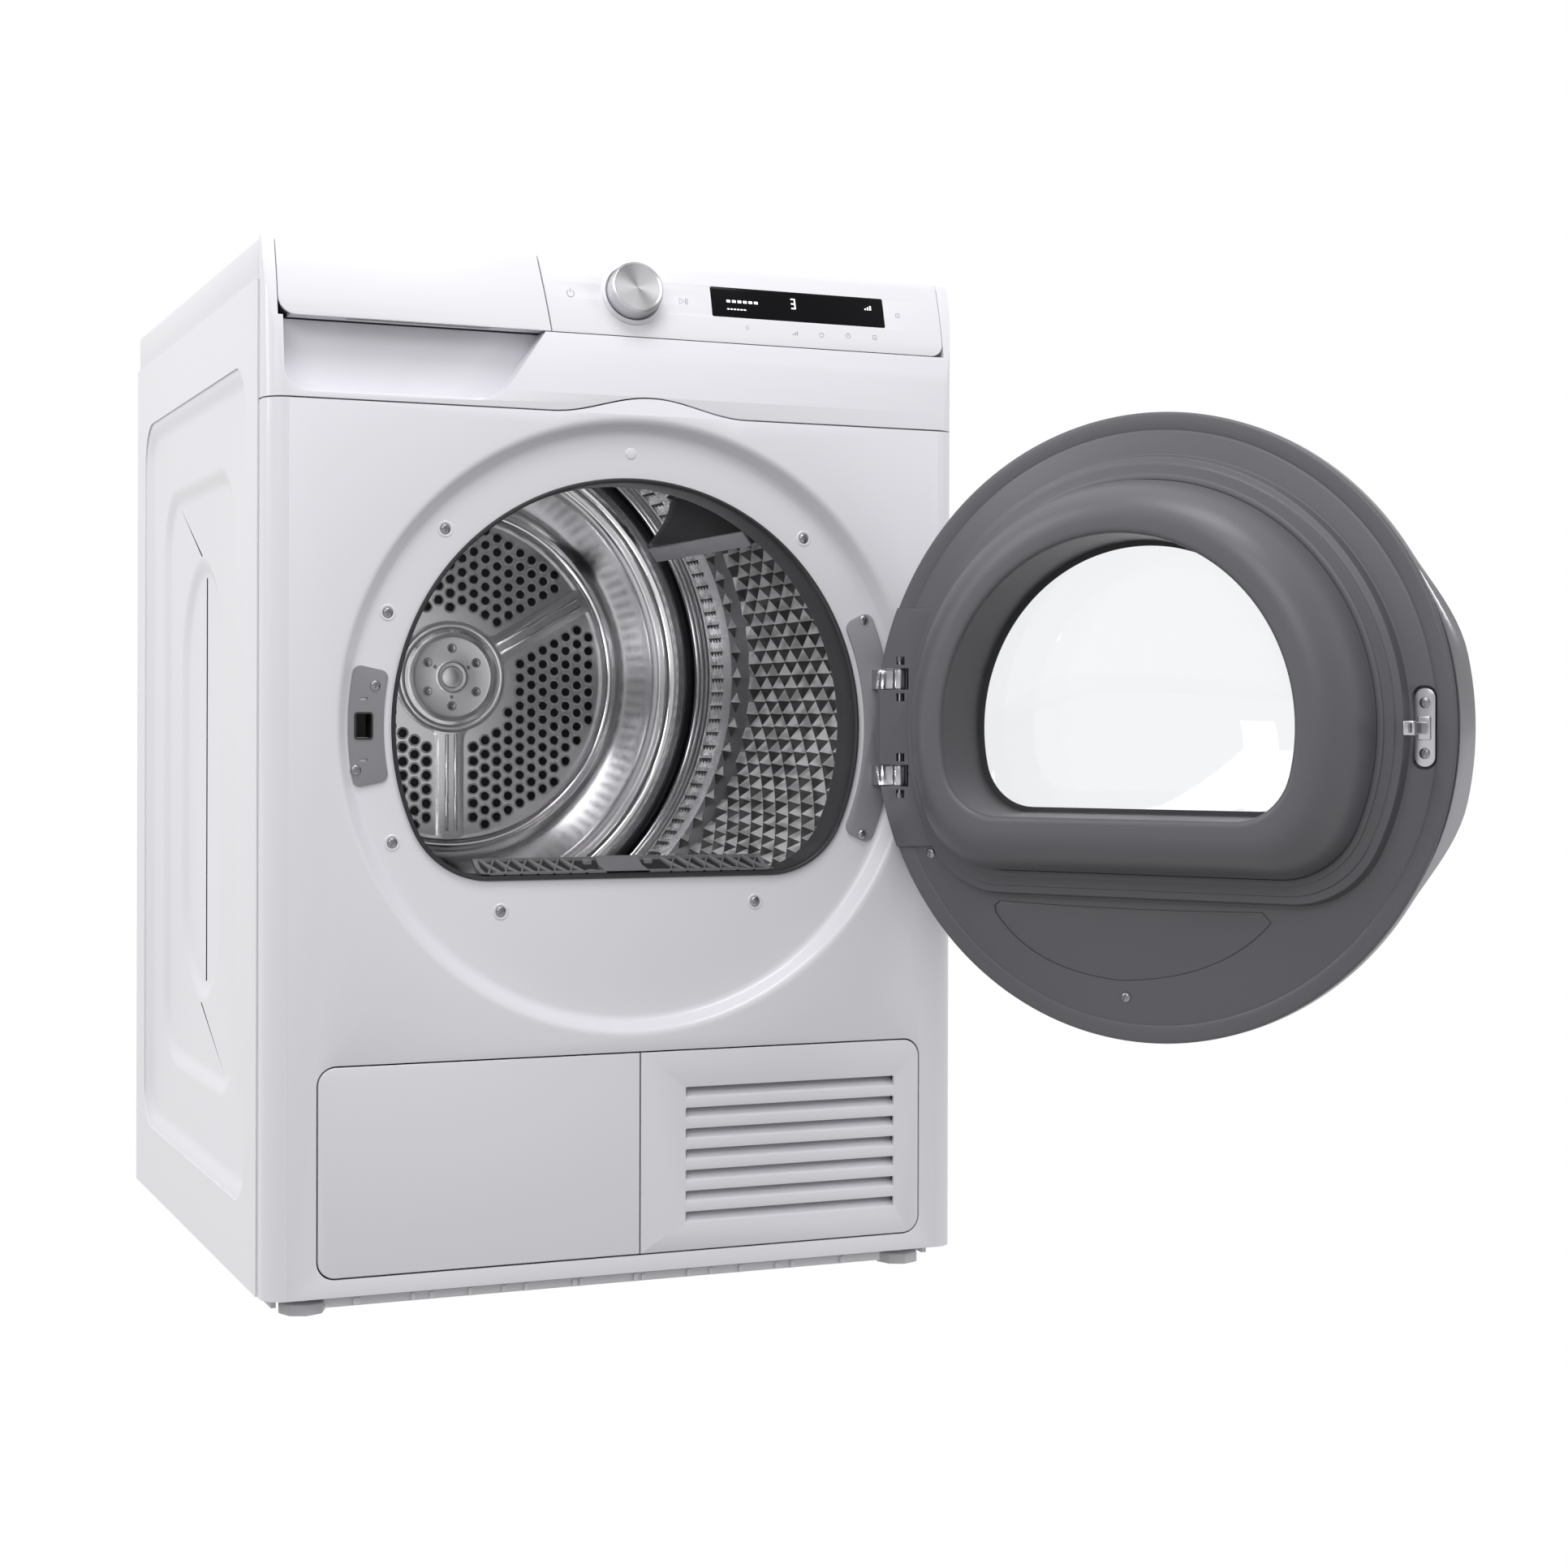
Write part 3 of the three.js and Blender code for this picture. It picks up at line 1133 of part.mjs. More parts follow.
baseMoulding();
sidePanel('side_panel_left', -1);
sidePanel('side_panel_right', 1);
rearPanel();
topCover();
lowerFrontPanel();
upperFrontPanel();
frontBulkhead();
lintFilter();
rearDuct();
drumShell();
drumRearWall();
drumShaft();
lifters();
feltSeal();
belt();
motor();
fan();
tensioner();
frontRollers();
heatPump();
compressor();
rearServices();
servicePanels();
controlPanel();
programKnob();
waterTank();
door();
hingeBracket();
doorCatch();
feet();

export default group;
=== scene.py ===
import json
import bpy
import bmesh
from math import acos, atan, atan2, cos, hypot, pi, radians, sin, sqrt
from mathutils import Matrix, Vector


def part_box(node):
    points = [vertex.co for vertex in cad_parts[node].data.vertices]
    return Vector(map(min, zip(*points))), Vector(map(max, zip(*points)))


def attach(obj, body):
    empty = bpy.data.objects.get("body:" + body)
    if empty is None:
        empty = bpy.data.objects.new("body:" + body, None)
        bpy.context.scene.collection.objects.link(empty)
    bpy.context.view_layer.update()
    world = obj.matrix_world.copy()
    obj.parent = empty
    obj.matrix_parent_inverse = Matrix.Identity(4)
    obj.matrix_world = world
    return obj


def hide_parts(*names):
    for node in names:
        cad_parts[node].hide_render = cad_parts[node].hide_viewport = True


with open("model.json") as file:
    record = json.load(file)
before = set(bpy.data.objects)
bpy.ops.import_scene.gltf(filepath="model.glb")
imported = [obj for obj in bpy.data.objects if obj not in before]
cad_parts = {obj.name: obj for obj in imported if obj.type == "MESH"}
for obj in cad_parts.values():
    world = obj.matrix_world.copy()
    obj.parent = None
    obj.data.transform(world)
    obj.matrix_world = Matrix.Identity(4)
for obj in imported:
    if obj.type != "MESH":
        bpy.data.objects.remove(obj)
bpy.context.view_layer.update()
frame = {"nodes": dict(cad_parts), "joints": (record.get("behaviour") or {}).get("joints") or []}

# Sizes are in millimetres; placePiece turns each finished mesh into metres.
milli = 0.001
tiny = 0.01


def cadBox(node):  # a CAD node's lowest and highest corner in millimetres
    low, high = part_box(node)
    return Vector(low) / milli, Vector(high) / milli


def jointNamed(name):
    return next(joint for joint in frame["joints"] if joint["name"] == name)


frontLow, frontHigh = cadBox("lower_front_panel")
coverLow, coverHigh = cadBox("top_cover")
upperLow = cadBox("upper_front_panel")[0]
shellLow, shellHigh = cadBox("drum_shell")

cabinet = {
    "faceY": frontLow.y,
    "returnY": frontHigh.y,
    "backY": coverHigh.y,
    "halfWidth": coverHigh.x,
    "top": coverHigh.z,
    "coverBottom": coverLow.z,
    "seamZ": upperLow.z - 0.6,
    "seamBump": 14,
    "bumpHalf": 85,
    "cornerRound": 18,
    "leanRadius": 378,
    "seamGap": 1.2,
}
opening = {
    "x": 8,
    "z": 465,
    "radius": 205,
    "drop": 125,
    "fillet": 70,
    "filletShare": 0.45,
    "recessRadius": 251,
    "recessSlope": 10,
    "recessDepth": 13,
}
floorY = cabinet["faceY"] + opening["recessDepth"]
drumHinge = Vector(jointNamed("drum_turn")["pos_m"]) / milli
drumX, drumZ = drumHinge.x, drumHinge.z
doorHinge = Vector(jointNamed("door_hinge")["pos_m"]) / milli
openAngle = -radians(jointNamed("door_hinge")["range_deg"][0])
openDoor = (
    Matrix.Translation(doorHinge) @ Matrix.Rotation(openAngle, 4, "Z") @ Matrix.Translation(-doorHinge)
)


def settle():
    if bpy.context.object and bpy.context.object.mode == "EDIT":
        bpy.ops.object.mode_set(mode="OBJECT")
    bpy.ops.object.select_all(action="DESELECT")


def activate(piece):
    settle()
    piece.select_set(True)
    bpy.context.view_layer.objects.active = piece


def edit(piece):
    activate(piece)
    bpy.ops.object.mode_set(mode="EDIT")
    bpy.ops.mesh.select_mode(type="VERT")
    bpy.ops.mesh.select_all(action="SELECT")


def choose(piece, kind, test):  # selects the vertices, edges or faces that pass the test
    edit(piece)
    bpy.ops.mesh.select_all(action="DESELECT")
    bpy.ops.mesh.select_mode(type=kind)
    shape = bmesh.from_edit_mesh(piece.data)
    items = {"VERT": shape.verts, "EDGE": shape.edges, "FACE": shape.faces}[kind]
    for item in items:
        if test(item):
            item.select_set(True)
    shape.select_flush_mode()
    bmesh.update_edit_mesh(piece.data)


def cleaned(piece):
    edit(piece)
    bpy.ops.mesh.remove_doubles(threshold=tiny)
    bpy.ops.mesh.normals_make_consistent(inside=False)
    settle()
    return piece


def trace(name, points, fill=True):  # a line drawn by extruding one vertex from point to point
    settle()
    bpy.ops.mesh.primitive_plane_add(size=1, location=points[0])
    piece = bpy.context.object
    piece.name = name
    piece.data.name = name
    bpy.ops.object.mode_set(mode="EDIT")
    bpy.ops.mesh.select_mode(type="VERT")
    bpy.ops.mesh.select_all(action="SELECT")
    bpy.ops.mesh.merge(type="CENTER")
    for here, there in zip(points, points[1:]):
        step = tuple(b - a for a, b in zip(here, there))
        bpy.ops.mesh.extrude_region_move(TRANSFORM_OT_translate={"value": step})
    if fill:
        bpy.ops.mesh.select_all(action="SELECT")
        bpy.ops.mesh.edge_face_add()
    bpy.ops.object.mode_set(mode="OBJECT")
    bpy.ops.object.transform_apply(location=True, rotation=False, scale=False)
    return piece


def prism(name, points, offset):  # an outline filled and extruded
    piece = trace(name, points)
    edit(piece)
    bpy.ops.mesh.extrude_region_move(TRANSFORM_OT_translate={"value": offset})
    return cleaned(piece)


def block(name, low, high):
    settle()
    middle = [(a + b) / 2 for a, b in zip(low, high)]
    bpy.ops.mesh.primitive_cube_add(size=1, location=middle)
    piece = bpy.context.object
    piece.name = name
    piece.scale = [b - a for a, b in zip(low, high)]
    bpy.ops.object.transform_apply(location=True, rotation=False, scale=True)
    return piece


def turn(name, profile, x, z, steps=96, angle=2 * pi):  # a profile of (radius, y) spun about an axis along Y
    piece = trace(name, [(x + radius, y, z) for radius, y in profile], fill=False)
    edit(piece)
    bpy.ops.mesh.spin(steps=steps, angle=angle, center=(x, 0, z), axis=(0, 1, 0))
    return cleaned(piece)


# rings of points, each extruded from the last
def loft(name, rings, joinEnds=False, capStart=False, capEnd=False):
    piece = trace(name, list(rings[0]) + [rings[0][0]], fill=False)
    cleaned(piece)
    edit(piece)
    if capStart:
        bpy.ops.mesh.edge_face_add()
        bpy.ops.mesh.select_mode(type="EDGE")
        bpy.ops.mesh.select_mode(type="VERT")
    before = [Vector(point) for point in rings[0]]
    wanted = list(rings[1:]) + ([rings[0]] if joinEnds else [])
    for ring in wanted:
        bpy.ops.mesh.extrude_edges_move(TRANSFORM_OT_translate={"value": (0, 0, 0)})
        shape = bmesh.from_edit_mesh(piece.data)
        picked = [v for v in shape.verts if v.select]
        nearest = [min(range(len(before)), key=lambda i: (before[i] - v.co).length_squared) for v in picked]
        for vertex, i in zip(picked, nearest):
            vertex.co = ring[i]
        bmesh.update_edit_mesh(piece.data)
        before = [Vector(point) for point in ring]
    if capEnd:
        bpy.ops.mesh.edge_face_add()
    return cleaned(piece)


def modify(piece, kind, **settings):  # adds a modifier and applies it
    activate(piece)
    change = piece.modifiers.new(kind.lower(), kind)
    for name, value in settings.items():
        setattr(change, name, value)
    bpy.ops.object.modifier_apply(modifier=change.name)
    return piece


def carve(piece, *cutters, how="DIFFERENCE"):
    for cutter in cutters:
        modify(piece, "BOOLEAN", operation=how, object=cutter, solver="EXACT")
        bpy.data.objects.remove(cutter, do_unlink=True)
    return piece


def soften(piece, width, angle=40, segments=3):
    return modify(
        piece,
        "BEVEL",
        width=width,
        segments=segments,
        limit_method="ANGLE",
        angle_limit=radians(angle),
        use_clamp_overlap=True,
    )


def roundEdges(piece, test, width, segments=4):  # bevels only the edges that pass the test
    choose(piece, "EDGE", test)
    bpy.ops.mesh.bevel(offset=width, segments=segments, affect="EDGES", clamp_overlap=True)
    settle()
    return piece


def copyOf(piece, name):
    twin = piece.copy()
    twin.data = piece.data.copy()
    twin.name = name
    bpy.context.scene.collection.objects.link(twin)
    return twin


def united(name, pieces):
    settle()
    for piece in pieces:
        piece.select_set(True)
    bpy.context.view_layer.objects.active = pieces[0]
    if len(pieces) > 1:
        bpy.ops.object.join()
    whole = bpy.context.object
    whole.name = name
    whole.data.name = name
    return whole


def scattered(name, template, matrices):  # one template copied to many places and joined
    copies = []
    for i, matrix in enumerate(matrices):
        twin = copyOf(template, name + str(i))
        twin.data.transform(matrix)
        copies.append(twin)
    bpy.data.objects.remove(template, do_unlink=True)
    return united(name, copies)


def placePiece(piece, body, material, stands=(), smooth=32, isOpen=False):
    if isOpen:
        piece.data.transform(openDoor)
    piece.data.transform(Matrix.Scale(milli, 4))
    activate(piece)
    bpy.ops.object.shade_smooth_by_angle(angle=radians(smooth))
    piece.data.materials.clear()
    piece.data.materials.append(material)
    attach(piece, body)
    if stands:
        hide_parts(*stands)
    return piece


def bend(start, corner, end, steps=5):  # points of a round corner
    points = []
    for i in range(steps + 1):
        t = i / steps
        points.append(
            tuple((1 - t) ** 2 * a + 2 * t * (1 - t) * b + t * t * c for a, b, c in zip(start, corner, end))
        )
    return points


def arcPoints(x, z, radius, fromAngle, toAngle, steps):
    points = []
    for i in range(steps + 1):
        angle = fromAngle + (toAngle - fromAngle) * i / steps
        points.append((x + radius * cos(angle), z + radius * sin(angle)))
    return points


def roundedRect(x0, x1, z0, z1, radius, steps=8):
    corners = [
        (x1 - radius, z1 - radius, 0),
        (x0 + radius, z1 - radius, pi / 2),
        (x0 + radius, z0 + radius, pi),
        (x1 - radius, z0 + radius, pi * 1.5),
    ]
    points = []
    for x, z, start in corners:
        points += arcPoints(x, z, radius, start, start + pi / 2, steps)
    return points


# the opening: a circle cut flat below, with round corners
def mouthOutline(grow=0, arcSteps=96, filletSteps=12, flatSteps=12):
    radius, fillet = opening["radius"] + grow, opening["fillet"] + grow * opening["filletShare"]
    bottomDrop = opening["drop"] + grow
    rise = fillet - bottomDrop
    reach = sqrt((radius - fillet) ** 2 - rise**2)
    turnOff = atan2(rise, reach)
    x, z = opening["x"], opening["z"]
    points = arcPoints(x, z, radius, turnOff, pi - turnOff, arcSteps)
    points += arcPoints(x - reach, z + rise, fillet, pi - turnOff, pi * 1.5, filletSteps)[1:]
    bottom = z + rise - fillet
    points += [(x - reach + 2 * reach * i / flatSteps, bottom) for i in range(1, flatSteps)]
    points += arcPoints(x + reach, z + rise, fillet, -pi / 2, turnOff, filletSteps)[:-1]
    return points


def atDepth(points, y):
    return [(x, y, z) for x, z in points]


def leanAt(z):
    rise = max(0, z - cabinet["seamZ"])
    return rise * rise / (2 * cabinet["leanRadius"])


def seamLine(offset, spread=4):
    half = cabinet["halfWidth"] + spread
    middle = opening["x"] + 10
    points = [(-half, cabinet["seamZ"] + offset)]
    for i in range(33):
        away = -1 + 2 * i / 32
        rise = cabinet["seamBump"] * (1 + cos(pi * away)) / 2
        points.append((middle + away * cabinet["bumpHalf"], cabinet["seamZ"] + rise + offset))
    points.append((half, cabinet["seamZ"] + offset))
    return points


def frontPlan(inset, z, extra=0):  # plan outline of the front panels with round upright corners
    radius = cabinet["cornerRound"] - inset
    side = cabinet["halfWidth"] - inset
    face = cabinet["faceY"] + inset
    back = cabinet["returnY"] + extra
    points = [(-side, back, z)]
    points += [(x, y, z) for x, y in arcPoints(-side + radius, face + radius, radius, pi, pi * 1.5, 12)]
    points += [(x, y, z) for x, y in arcPoints(side - radius, face + radius, radius, pi * 1.5, pi * 2, 12)]
    points.append((side, back, z))
    return points


def addSocket(group, name, kind, inOut, value=None):
    socket = group.interface.new_socket(name=name, in_out=inOut, socket_type="NodeSocket" + kind)
    if value is not None:
        socket.default_value = value
    return socket


def linked(tree, kind, inputs=None, **settings):  # a node with its settings, values and incoming links
    node = tree.nodes.new("ShaderNode" + kind)
    for name, value in settings.items():
        setattr(node, name, value)
    for name, value in (inputs or {}).items():
        if hasattr(value, "is_linked"):
            tree.links.new(value, node.inputs[name])
        else:
            node.inputs[name].default_value = value
    return node


def grainGroup():  # fine moulded or sprayed texture, slow smudges and a slight change of shade
    group = bpy.data.node_groups.new("fineGrain", "ShaderNodeTree")
    for name, kind, value in (
        ("Colour", "Color", (0.8, 0.8, 0.8, 1)),
        ("Shade change", "Float", 0.03),
        ("Roughness", "Float", 0.4),
        ("Smudge", "Float", 0.05),
        ("Smudge size", "Float", 9.0),
        ("Grain size", "Float", 900.0),
        ("Grain depth", "Float", 0.1),
    ):
        addSocket(group, name, kind, "INPUT", value)
    for name, kind in (("Colour", "Color"), ("Roughness", "Float"), ("Normal", "Vector")):
        addSocket(group, name, kind, "OUTPUT")
    given = group.nodes.new("NodeGroupInput").outputs
    place = linked(group, "TexCoord").outputs["Object"]
    cloud = linked(group, "TexNoise", {"Vector": place, "Scale": given["Smudge size"], "Detail": 3.0})
    swing = linked(group, "Math", {0: cloud.outputs["Fac"], 1: 0.5}, operation="SUBTRACT")
    more = linked(
        group,
        "Math",
        {0: swing.outputs[0], 1: given["Smudge"], 2: given["Roughness"]},
        operation="MULTIPLY_ADD",
    )
    shade = linked(
        group, "Math", {0: swing.outputs[0], 1: given["Shade change"], 2: 1.0}, operation="MULTIPLY_ADD"
    )
    tint = linked(group, "VectorMath", {0: given["Colour"]}, operation="SCALE")
    group.links.new(shade.outputs[0], tint.inputs["Scale"])
    grain = linked(group, "TexNoise", {"Vector": place, "Scale": given["Grain size"], "Detail": 2.0})
    bump = linked(
        group,
        "Bump",
        {"Height": grain.outputs["Fac"], "Strength": given["Grain depth"], "Distance": 0.0004},
    )
    out = group.nodes.new("NodeGroupOutput").inputs
    group.links.new(tint.outputs[0], out["Colour"])
    group.links.new(more.outputs[0], out["Roughness"])
    group.links.new(bump.outputs[0], out["Normal"])
    return group


def turnedGroup():  # brushing that runs round an axis along Y
    group = bpy.data.node_groups.new("turnedBrushing", "ShaderNodeTree")
    for name, kind, value in (
        ("Colour", "Color", (0.6, 0.6, 0.6, 1)),
        ("Roughness", "Float", 0.25),
        ("Streaks", "Float", 0.1),
        ("Line size", "Float", 700.0),
        ("Line depth", "Float", 0.15),
        ("Centre", "Vector", (0, 0, 0)),
    ):
        addSocket(group, name, kind, "INPUT", value)
    for name, kind in (("Colour", "Color"), ("Roughness", "Float"), ("Normal", "Vector")):
        addSocket(group, name, kind, "OUTPUT")
    given = group.nodes.new("NodeGroupInput").outputs
    place = linked(group, "TexCoord").outputs["Object"]
    away = linked(group, "VectorMath", {0: place, 1: given["Centre"]}, operation="SUBTRACT")
    parts = linked(group, "SeparateXYZ", {"Vector": away.outputs[0]})
    flat = linked(group, "CombineXYZ", {"X": parts.outputs["X"], "Z": parts.outputs["Z"]})
    reach = linked(group, "VectorMath", {0: flat.outputs[0]}, operation="LENGTH")
    lines = linked(group, "CombineXYZ", {"X": reach.outputs["Value"], "Y": parts.outputs["Y"]})
    streak = linked(
        group, "TexNoise", {"Vector": lines.outputs[0], "Scale": given["Line size"], "Detail": 3.0}
    )
    cloud = linked(group, "TexNoise", {"Vector": place, "Scale": 14.0, "Detail": 2.0})
    both = linked(group, "Math", {0: streak.outputs["Fac"], 1: cloud.outputs["Fac"]}, operation="MULTIPLY")
    more = linked(
        group,
        "Math",
        {0: both.outputs[0], 1: given["Streaks"], 2: given["Roughness"]},
        operation="MULTIPLY_ADD",
    )
    shade = linked(group, "MapRange", {"Value": streak.outputs["Fac"], "To Min": 0.9, "To Max": 1.04})
    tint = linked(group, "VectorMath", {0: given["Colour"]}, operation="SCALE")
    group.links.new(shade.outputs[0], tint.inputs["Scale"])
    bump = linked(
        group,
        "Bump",
        {"Height": streak.outputs["Fac"], "Strength": given["Line depth"], "Distance": 0.0002},
    )
    out = group.nodes.new("NodeGroupOutput").inputs
    group.links.new(tint.outputs[0], out["Colour"])
    group.links.new(more.outputs[0], out["Roughness"])
    group.links.new(bump.outputs[0], out["Normal"])
    return group


def wedgeGroup():  # painted light and dark wedges, standing in for the reflections on a face turned on a lathe
    group = bpy.data.node_groups.new("wedgeSheen", "ShaderNodeTree")
    for name, kind, value in (
        ("Colour", "Color", (0.6, 0.6, 0.6, 1)),
        ("Roughness", "Float", 0.3),
        ("Centre", "Vector", (0, 0, 0)),
        ("Tilt", "Vector", (0, 0, 0)),
        ("Contrast", "Float", 0.3),
    ):
        addSocket(group, name, kind, "INPUT", value)
    for name, kind in (("Colour", "Color"), ("Roughness", "Float"), ("Normal", "Vector")):
        addSocket(group, name, kind, "OUTPUT")
    given = group.nodes.new("NodeGroupInput").outputs
    place = linked(group, "TexCoord").outputs["Object"]
    away = linked(group, "VectorMath", {0: place, 1: given["Centre"]}, operation="SUBTRACT")
    level = linked(
        group,
        "VectorRotate",
        {"Vector": away.outputs[0], "Rotation": given["Tilt"]},
        rotation_type="EULER_XYZ",
    )
    parts = linked(group, "SeparateXYZ", {"Vector": level.outputs[0]})
    angle = linked(group, "Math", {0: parts.outputs["Z"], 1: parts.outputs["X"]}, operation="ARCTAN2")
    double = linked(group, "Math", {0: angle.outputs[0], 1: 2.0, 2: 0.9}, operation="MULTIPLY_ADD")
    wave = linked(group, "Math", {0: double.outputs[0]}, operation="SINE")
    fine = linked(group, "Math", {0: angle.outputs[0], 1: 4.0, 2: 2.2}, operation="MULTIPLY_ADD")
    ripple = linked(group, "Math", {0: fine.outputs[0]}, operation="SINE")
    both = linked(
        group, "Math", {0: ripple.outputs[0], 1: 0.45, 2: wave.outputs[0]}, operation="MULTIPLY_ADD"
    )
    # painted reflection: the colour is scaled lighter and darker by the angle round the knob's axis
    shade = linked(
        group, "Math", {0: both.outputs[0], 1: given["Contrast"], 2: 0.8}, operation="MULTIPLY_ADD"
    )
    tint = linked(group, "VectorMath", {0: given["Colour"]}, operation="SCALE")
    group.links.new(shade.outputs[0], tint.inputs["Scale"])
    flat = linked(group, "CombineXYZ", {"X": parts.outputs["X"], "Z": parts.outputs["Z"]})
    reach = linked(group, "VectorMath", {0: flat.outputs[0]}, operation="LENGTH")
    lines = linked(group, "CombineXYZ", {"X": reach.outputs["Value"]})
    streak = linked(group, "TexNoise", {"Vector": lines.outputs[0], "Scale": 2600.0, "Detail": 2.0})
    bump = linked(group, "Bump", {"Height": streak.outputs["Fac"], "Strength": 0.3, "Distance": 0.0002})
    out = group.nodes.new("NodeGroupOutput").inputs
    group.links.new(tint.outputs[0], out["Colour"])
    group.links.new(given["Roughness"], out["Roughness"])
    group.links.new(bump.outputs[0], out["Normal"])
    return group


def facetGroup():  # pressed facets, each painted lighter or darker by the way it faces (painted shade and painted highlight), with painted glints in patches
    group = bpy.data.node_groups.new("facetShadeAndGlints", "ShaderNodeTree")
    for name, kind, value in (
        ("Colour", "Color", (0.8, 0.8, 0.8, 1)),
        ("Roughness", "Float", 0.15),
        ("Dark facets", "Float", 0.2),
        ("Patch size", "Float", 55.0),
        ("Centre", "Vector", (0, 0, 0)),
    ):
        addSocket(group, name, kind, "INPUT", value)
    for name, kind in (("Colour", "Color"), ("Roughness", "Float"), ("Normal", "Vector")):
        addSocket(group, name, kind, "OUTPUT")
    given = group.nodes.new("NodeGroupInput").outputs
    space = linked(group, "TexCoord").outputs
    away = linked(group, "VectorMath", {0: space["Object"], 1: given["Centre"]}, operation="SUBTRACT")
    flat = linked(group, "VectorMath", {0: away.outputs[0], 1: (1, 0, 1)}, operation="MULTIPLY")
    around = linked(group, "VectorMath", {0: flat.outputs[0], 1: (0, -1, 0)}, operation="CROSS_PRODUCT")
    along = linked(group, "VectorMath", {0: around.outputs[0]}, operation="NORMALIZE")
    facing = linked(group, "VectorMath", {0: along.outputs[0], 1: space["Normal"]}, operation="DOT_PRODUCT")
    # painted shade: facets that face one way round the drum are painted darker, the others stay light
    facingShade = linked(
        group,
        "MapRange",
        {
            "Value": facing.outputs["Value"],
            "From Min": -0.15,
            "From Max": 0.15,
            "To Min": 1.0,
            "To Max": given["Dark facets"],
        },
    )
    # painted glints: noise patches scale the colour lighter and darker like sparkle; the same noise gives a
    # faint bump
    glintPatch = linked(
        group, "TexNoise", {"Vector": space["Object"], "Scale": given["Patch size"], "Detail": 1.0}
    )
    spread = linked(
        group, "MapRange", {
            "Value": glintPatch.outputs["Fac"], "From Min": 0.4, "From Max": 0.58, "To Min": 0.7, "To Max": 1.3
        }
    )
    both = linked(group, "Math", {0: facingShade.outputs[0], 1: spread.outputs[0]}, operation="MULTIPLY")
    tint = linked(group, "VectorMath", {0: given["Colour"]}, operation="SCALE")
    group.links.new(both.outputs[0], tint.inputs["Scale"])
    bump = linked(group, "Bump", {"Height": glintPatch.outputs["Fac"], "Strength": 0.02, "Distance": 0.0002})
    out = group.nodes.new("NodeGroupOutput").inputs
    group.links.new(tint.outputs[0], out["Colour"])
    group.links.new(given["Roughness"], out["Roughness"])
    group.links.new(bump.outputs[0], out["Normal"])
    return group


fineGrain = grainGroup()
wedgeSheen = wedgeGroup()
turnedBrushing = turnedGroup()
facetShadeAndGlints = facetGroup()


def newMaterial(name, group, values, **fixed):  # a Principled surface fed by one of the groups
    material = bpy.data.materials.new(name)
    material.use_nodes = True
    tree = material.node_tree
    surface = tree.nodes["Principled BSDF"]
    source = tree.nodes.new("ShaderNodeGroup")
    source.node_tree = group
    for key, value in values.items():
        source.inputs[key].default_value = value
    tree.links.new(source.outputs["Colour"], surface.inputs["Base Color"])
    tree.links.new(source.outputs["Roughness"], surface.inputs["Roughness"])
    tree.links.new(source.outputs["Normal"], surface.inputs["Normal"])
    for key, value in fixed.items():
        surface.inputs[key.replace("_", " ")].default_value = value
    return material


def grained(name, colour, rough, grain=0.1, size=900.0, smudge=0.05, shade=0.03, **fixed):
    values = {
        "Colour": (*colour, 1),
        "Roughness": rough,
        "Grain depth": grain,
        "Grain size": size,
        "Smudge": smudge,
        "Shade change": shade,
    }
    return newMaterial(name, fineGrain, values, **fixed)


def brushed(name, colour, rough, streaks, size, depth, centre, **fixed):
    values = {
        "Colour": (*colour, 1),
        "Roughness": rough,
        "Streaks": streaks,
        "Line size": size,
        "Line depth": depth,
        "Centre": centre,
    }
    return newMaterial(name, turnedBrushing, values, Metallic=1.0, **fixed)


whitePaint = grained(
    "whitePaint", (0.755, 0.745, 0.79), 0.34, 0.05, 1400, 0.06, 0.02, Coat_Weight=0.25, Coat_Roughness=0.12
)
fasciaWhite = grained(
    "fasciaWhite",
    (0.74, 0.735, 0.775),
    0.34,
    0.04,
    1600,
    0.05,
    0.015,
    Coat_Weight=0.15,
    Coat_Roughness=0.15,
)
doorGrey = grained("doorGrey", (0.105, 0.103, 0.116), 0.4, 0.16, 1100, 0.08, 0.05)
darkPlastic = grained(
    "darkPlastic", (0.012, 0.012, 0.014), 0.45, 0.15, 1000, 0.08, 0.06, Specular_IOR_Level=0.3
)
latticeGrey = grained("latticeGrey", (0.15, 0.148, 0.16), 0.42, 0.12, 1000, 0.08, 0.05)
tunnelBlack = grained(
    "tunnelBlack", (0.026, 0.026, 0.03), 0.38, 0.1, 1000, 0.08, 0.05, Specular_IOR_Level=0.35
)
latchGrey = grained("latchGrey", (0.235, 0.23, 0.25), 0.42, 0.12, 1100, 0.06, 0.04)
lightGrey = grained("lightGrey", (0.3, 0.3, 0.325), 0.4, 0.12, 1000, 0.06, 0.04)
iconGrey = grained("iconGrey", (0.33, 0.33, 0.36), 0.4, 0.05, 1200, 0.03, 0.02)
basePlastic = grained("basePlastic", (0.72, 0.715, 0.75), 0.5, 0.15, 900, 0.08, 0.05)
greyDuct = grained("greyDuct", (0.26, 0.26, 0.28), 0.5, 0.2, 800, 0.1, 0.08)
blackPlastic = grained("blackPlastic", (0.022, 0.022, 0.025), 0.5, 0.15, 900, 0.1, 0.08)
blackSteel = grained("blackSteel", (0.02, 0.02, 0.022), 0.35, 0.1, 700, 0.1, 0.1, Metallic=0.3)
rubber = grained("rubber", (0.03, 0.03, 0.032), 0.75, 0.25, 800, 0.1, 0.1)
felt = grained("felt", (0.09, 0.09, 0.095), 0.95, 0.8, 500, 0.02, 0.25, Sheen_Weight=0.5)
zinc = grained("zinc", (0.46, 0.47, 0.48), 0.4, 0.1, 500, 0.2, 0.15, Metallic=1.0)
finStock = grained("finStock", (0.6, 0.62, 0.63), 0.38, 0.1, 400, 0.15, 0.1, Metallic=1.0)
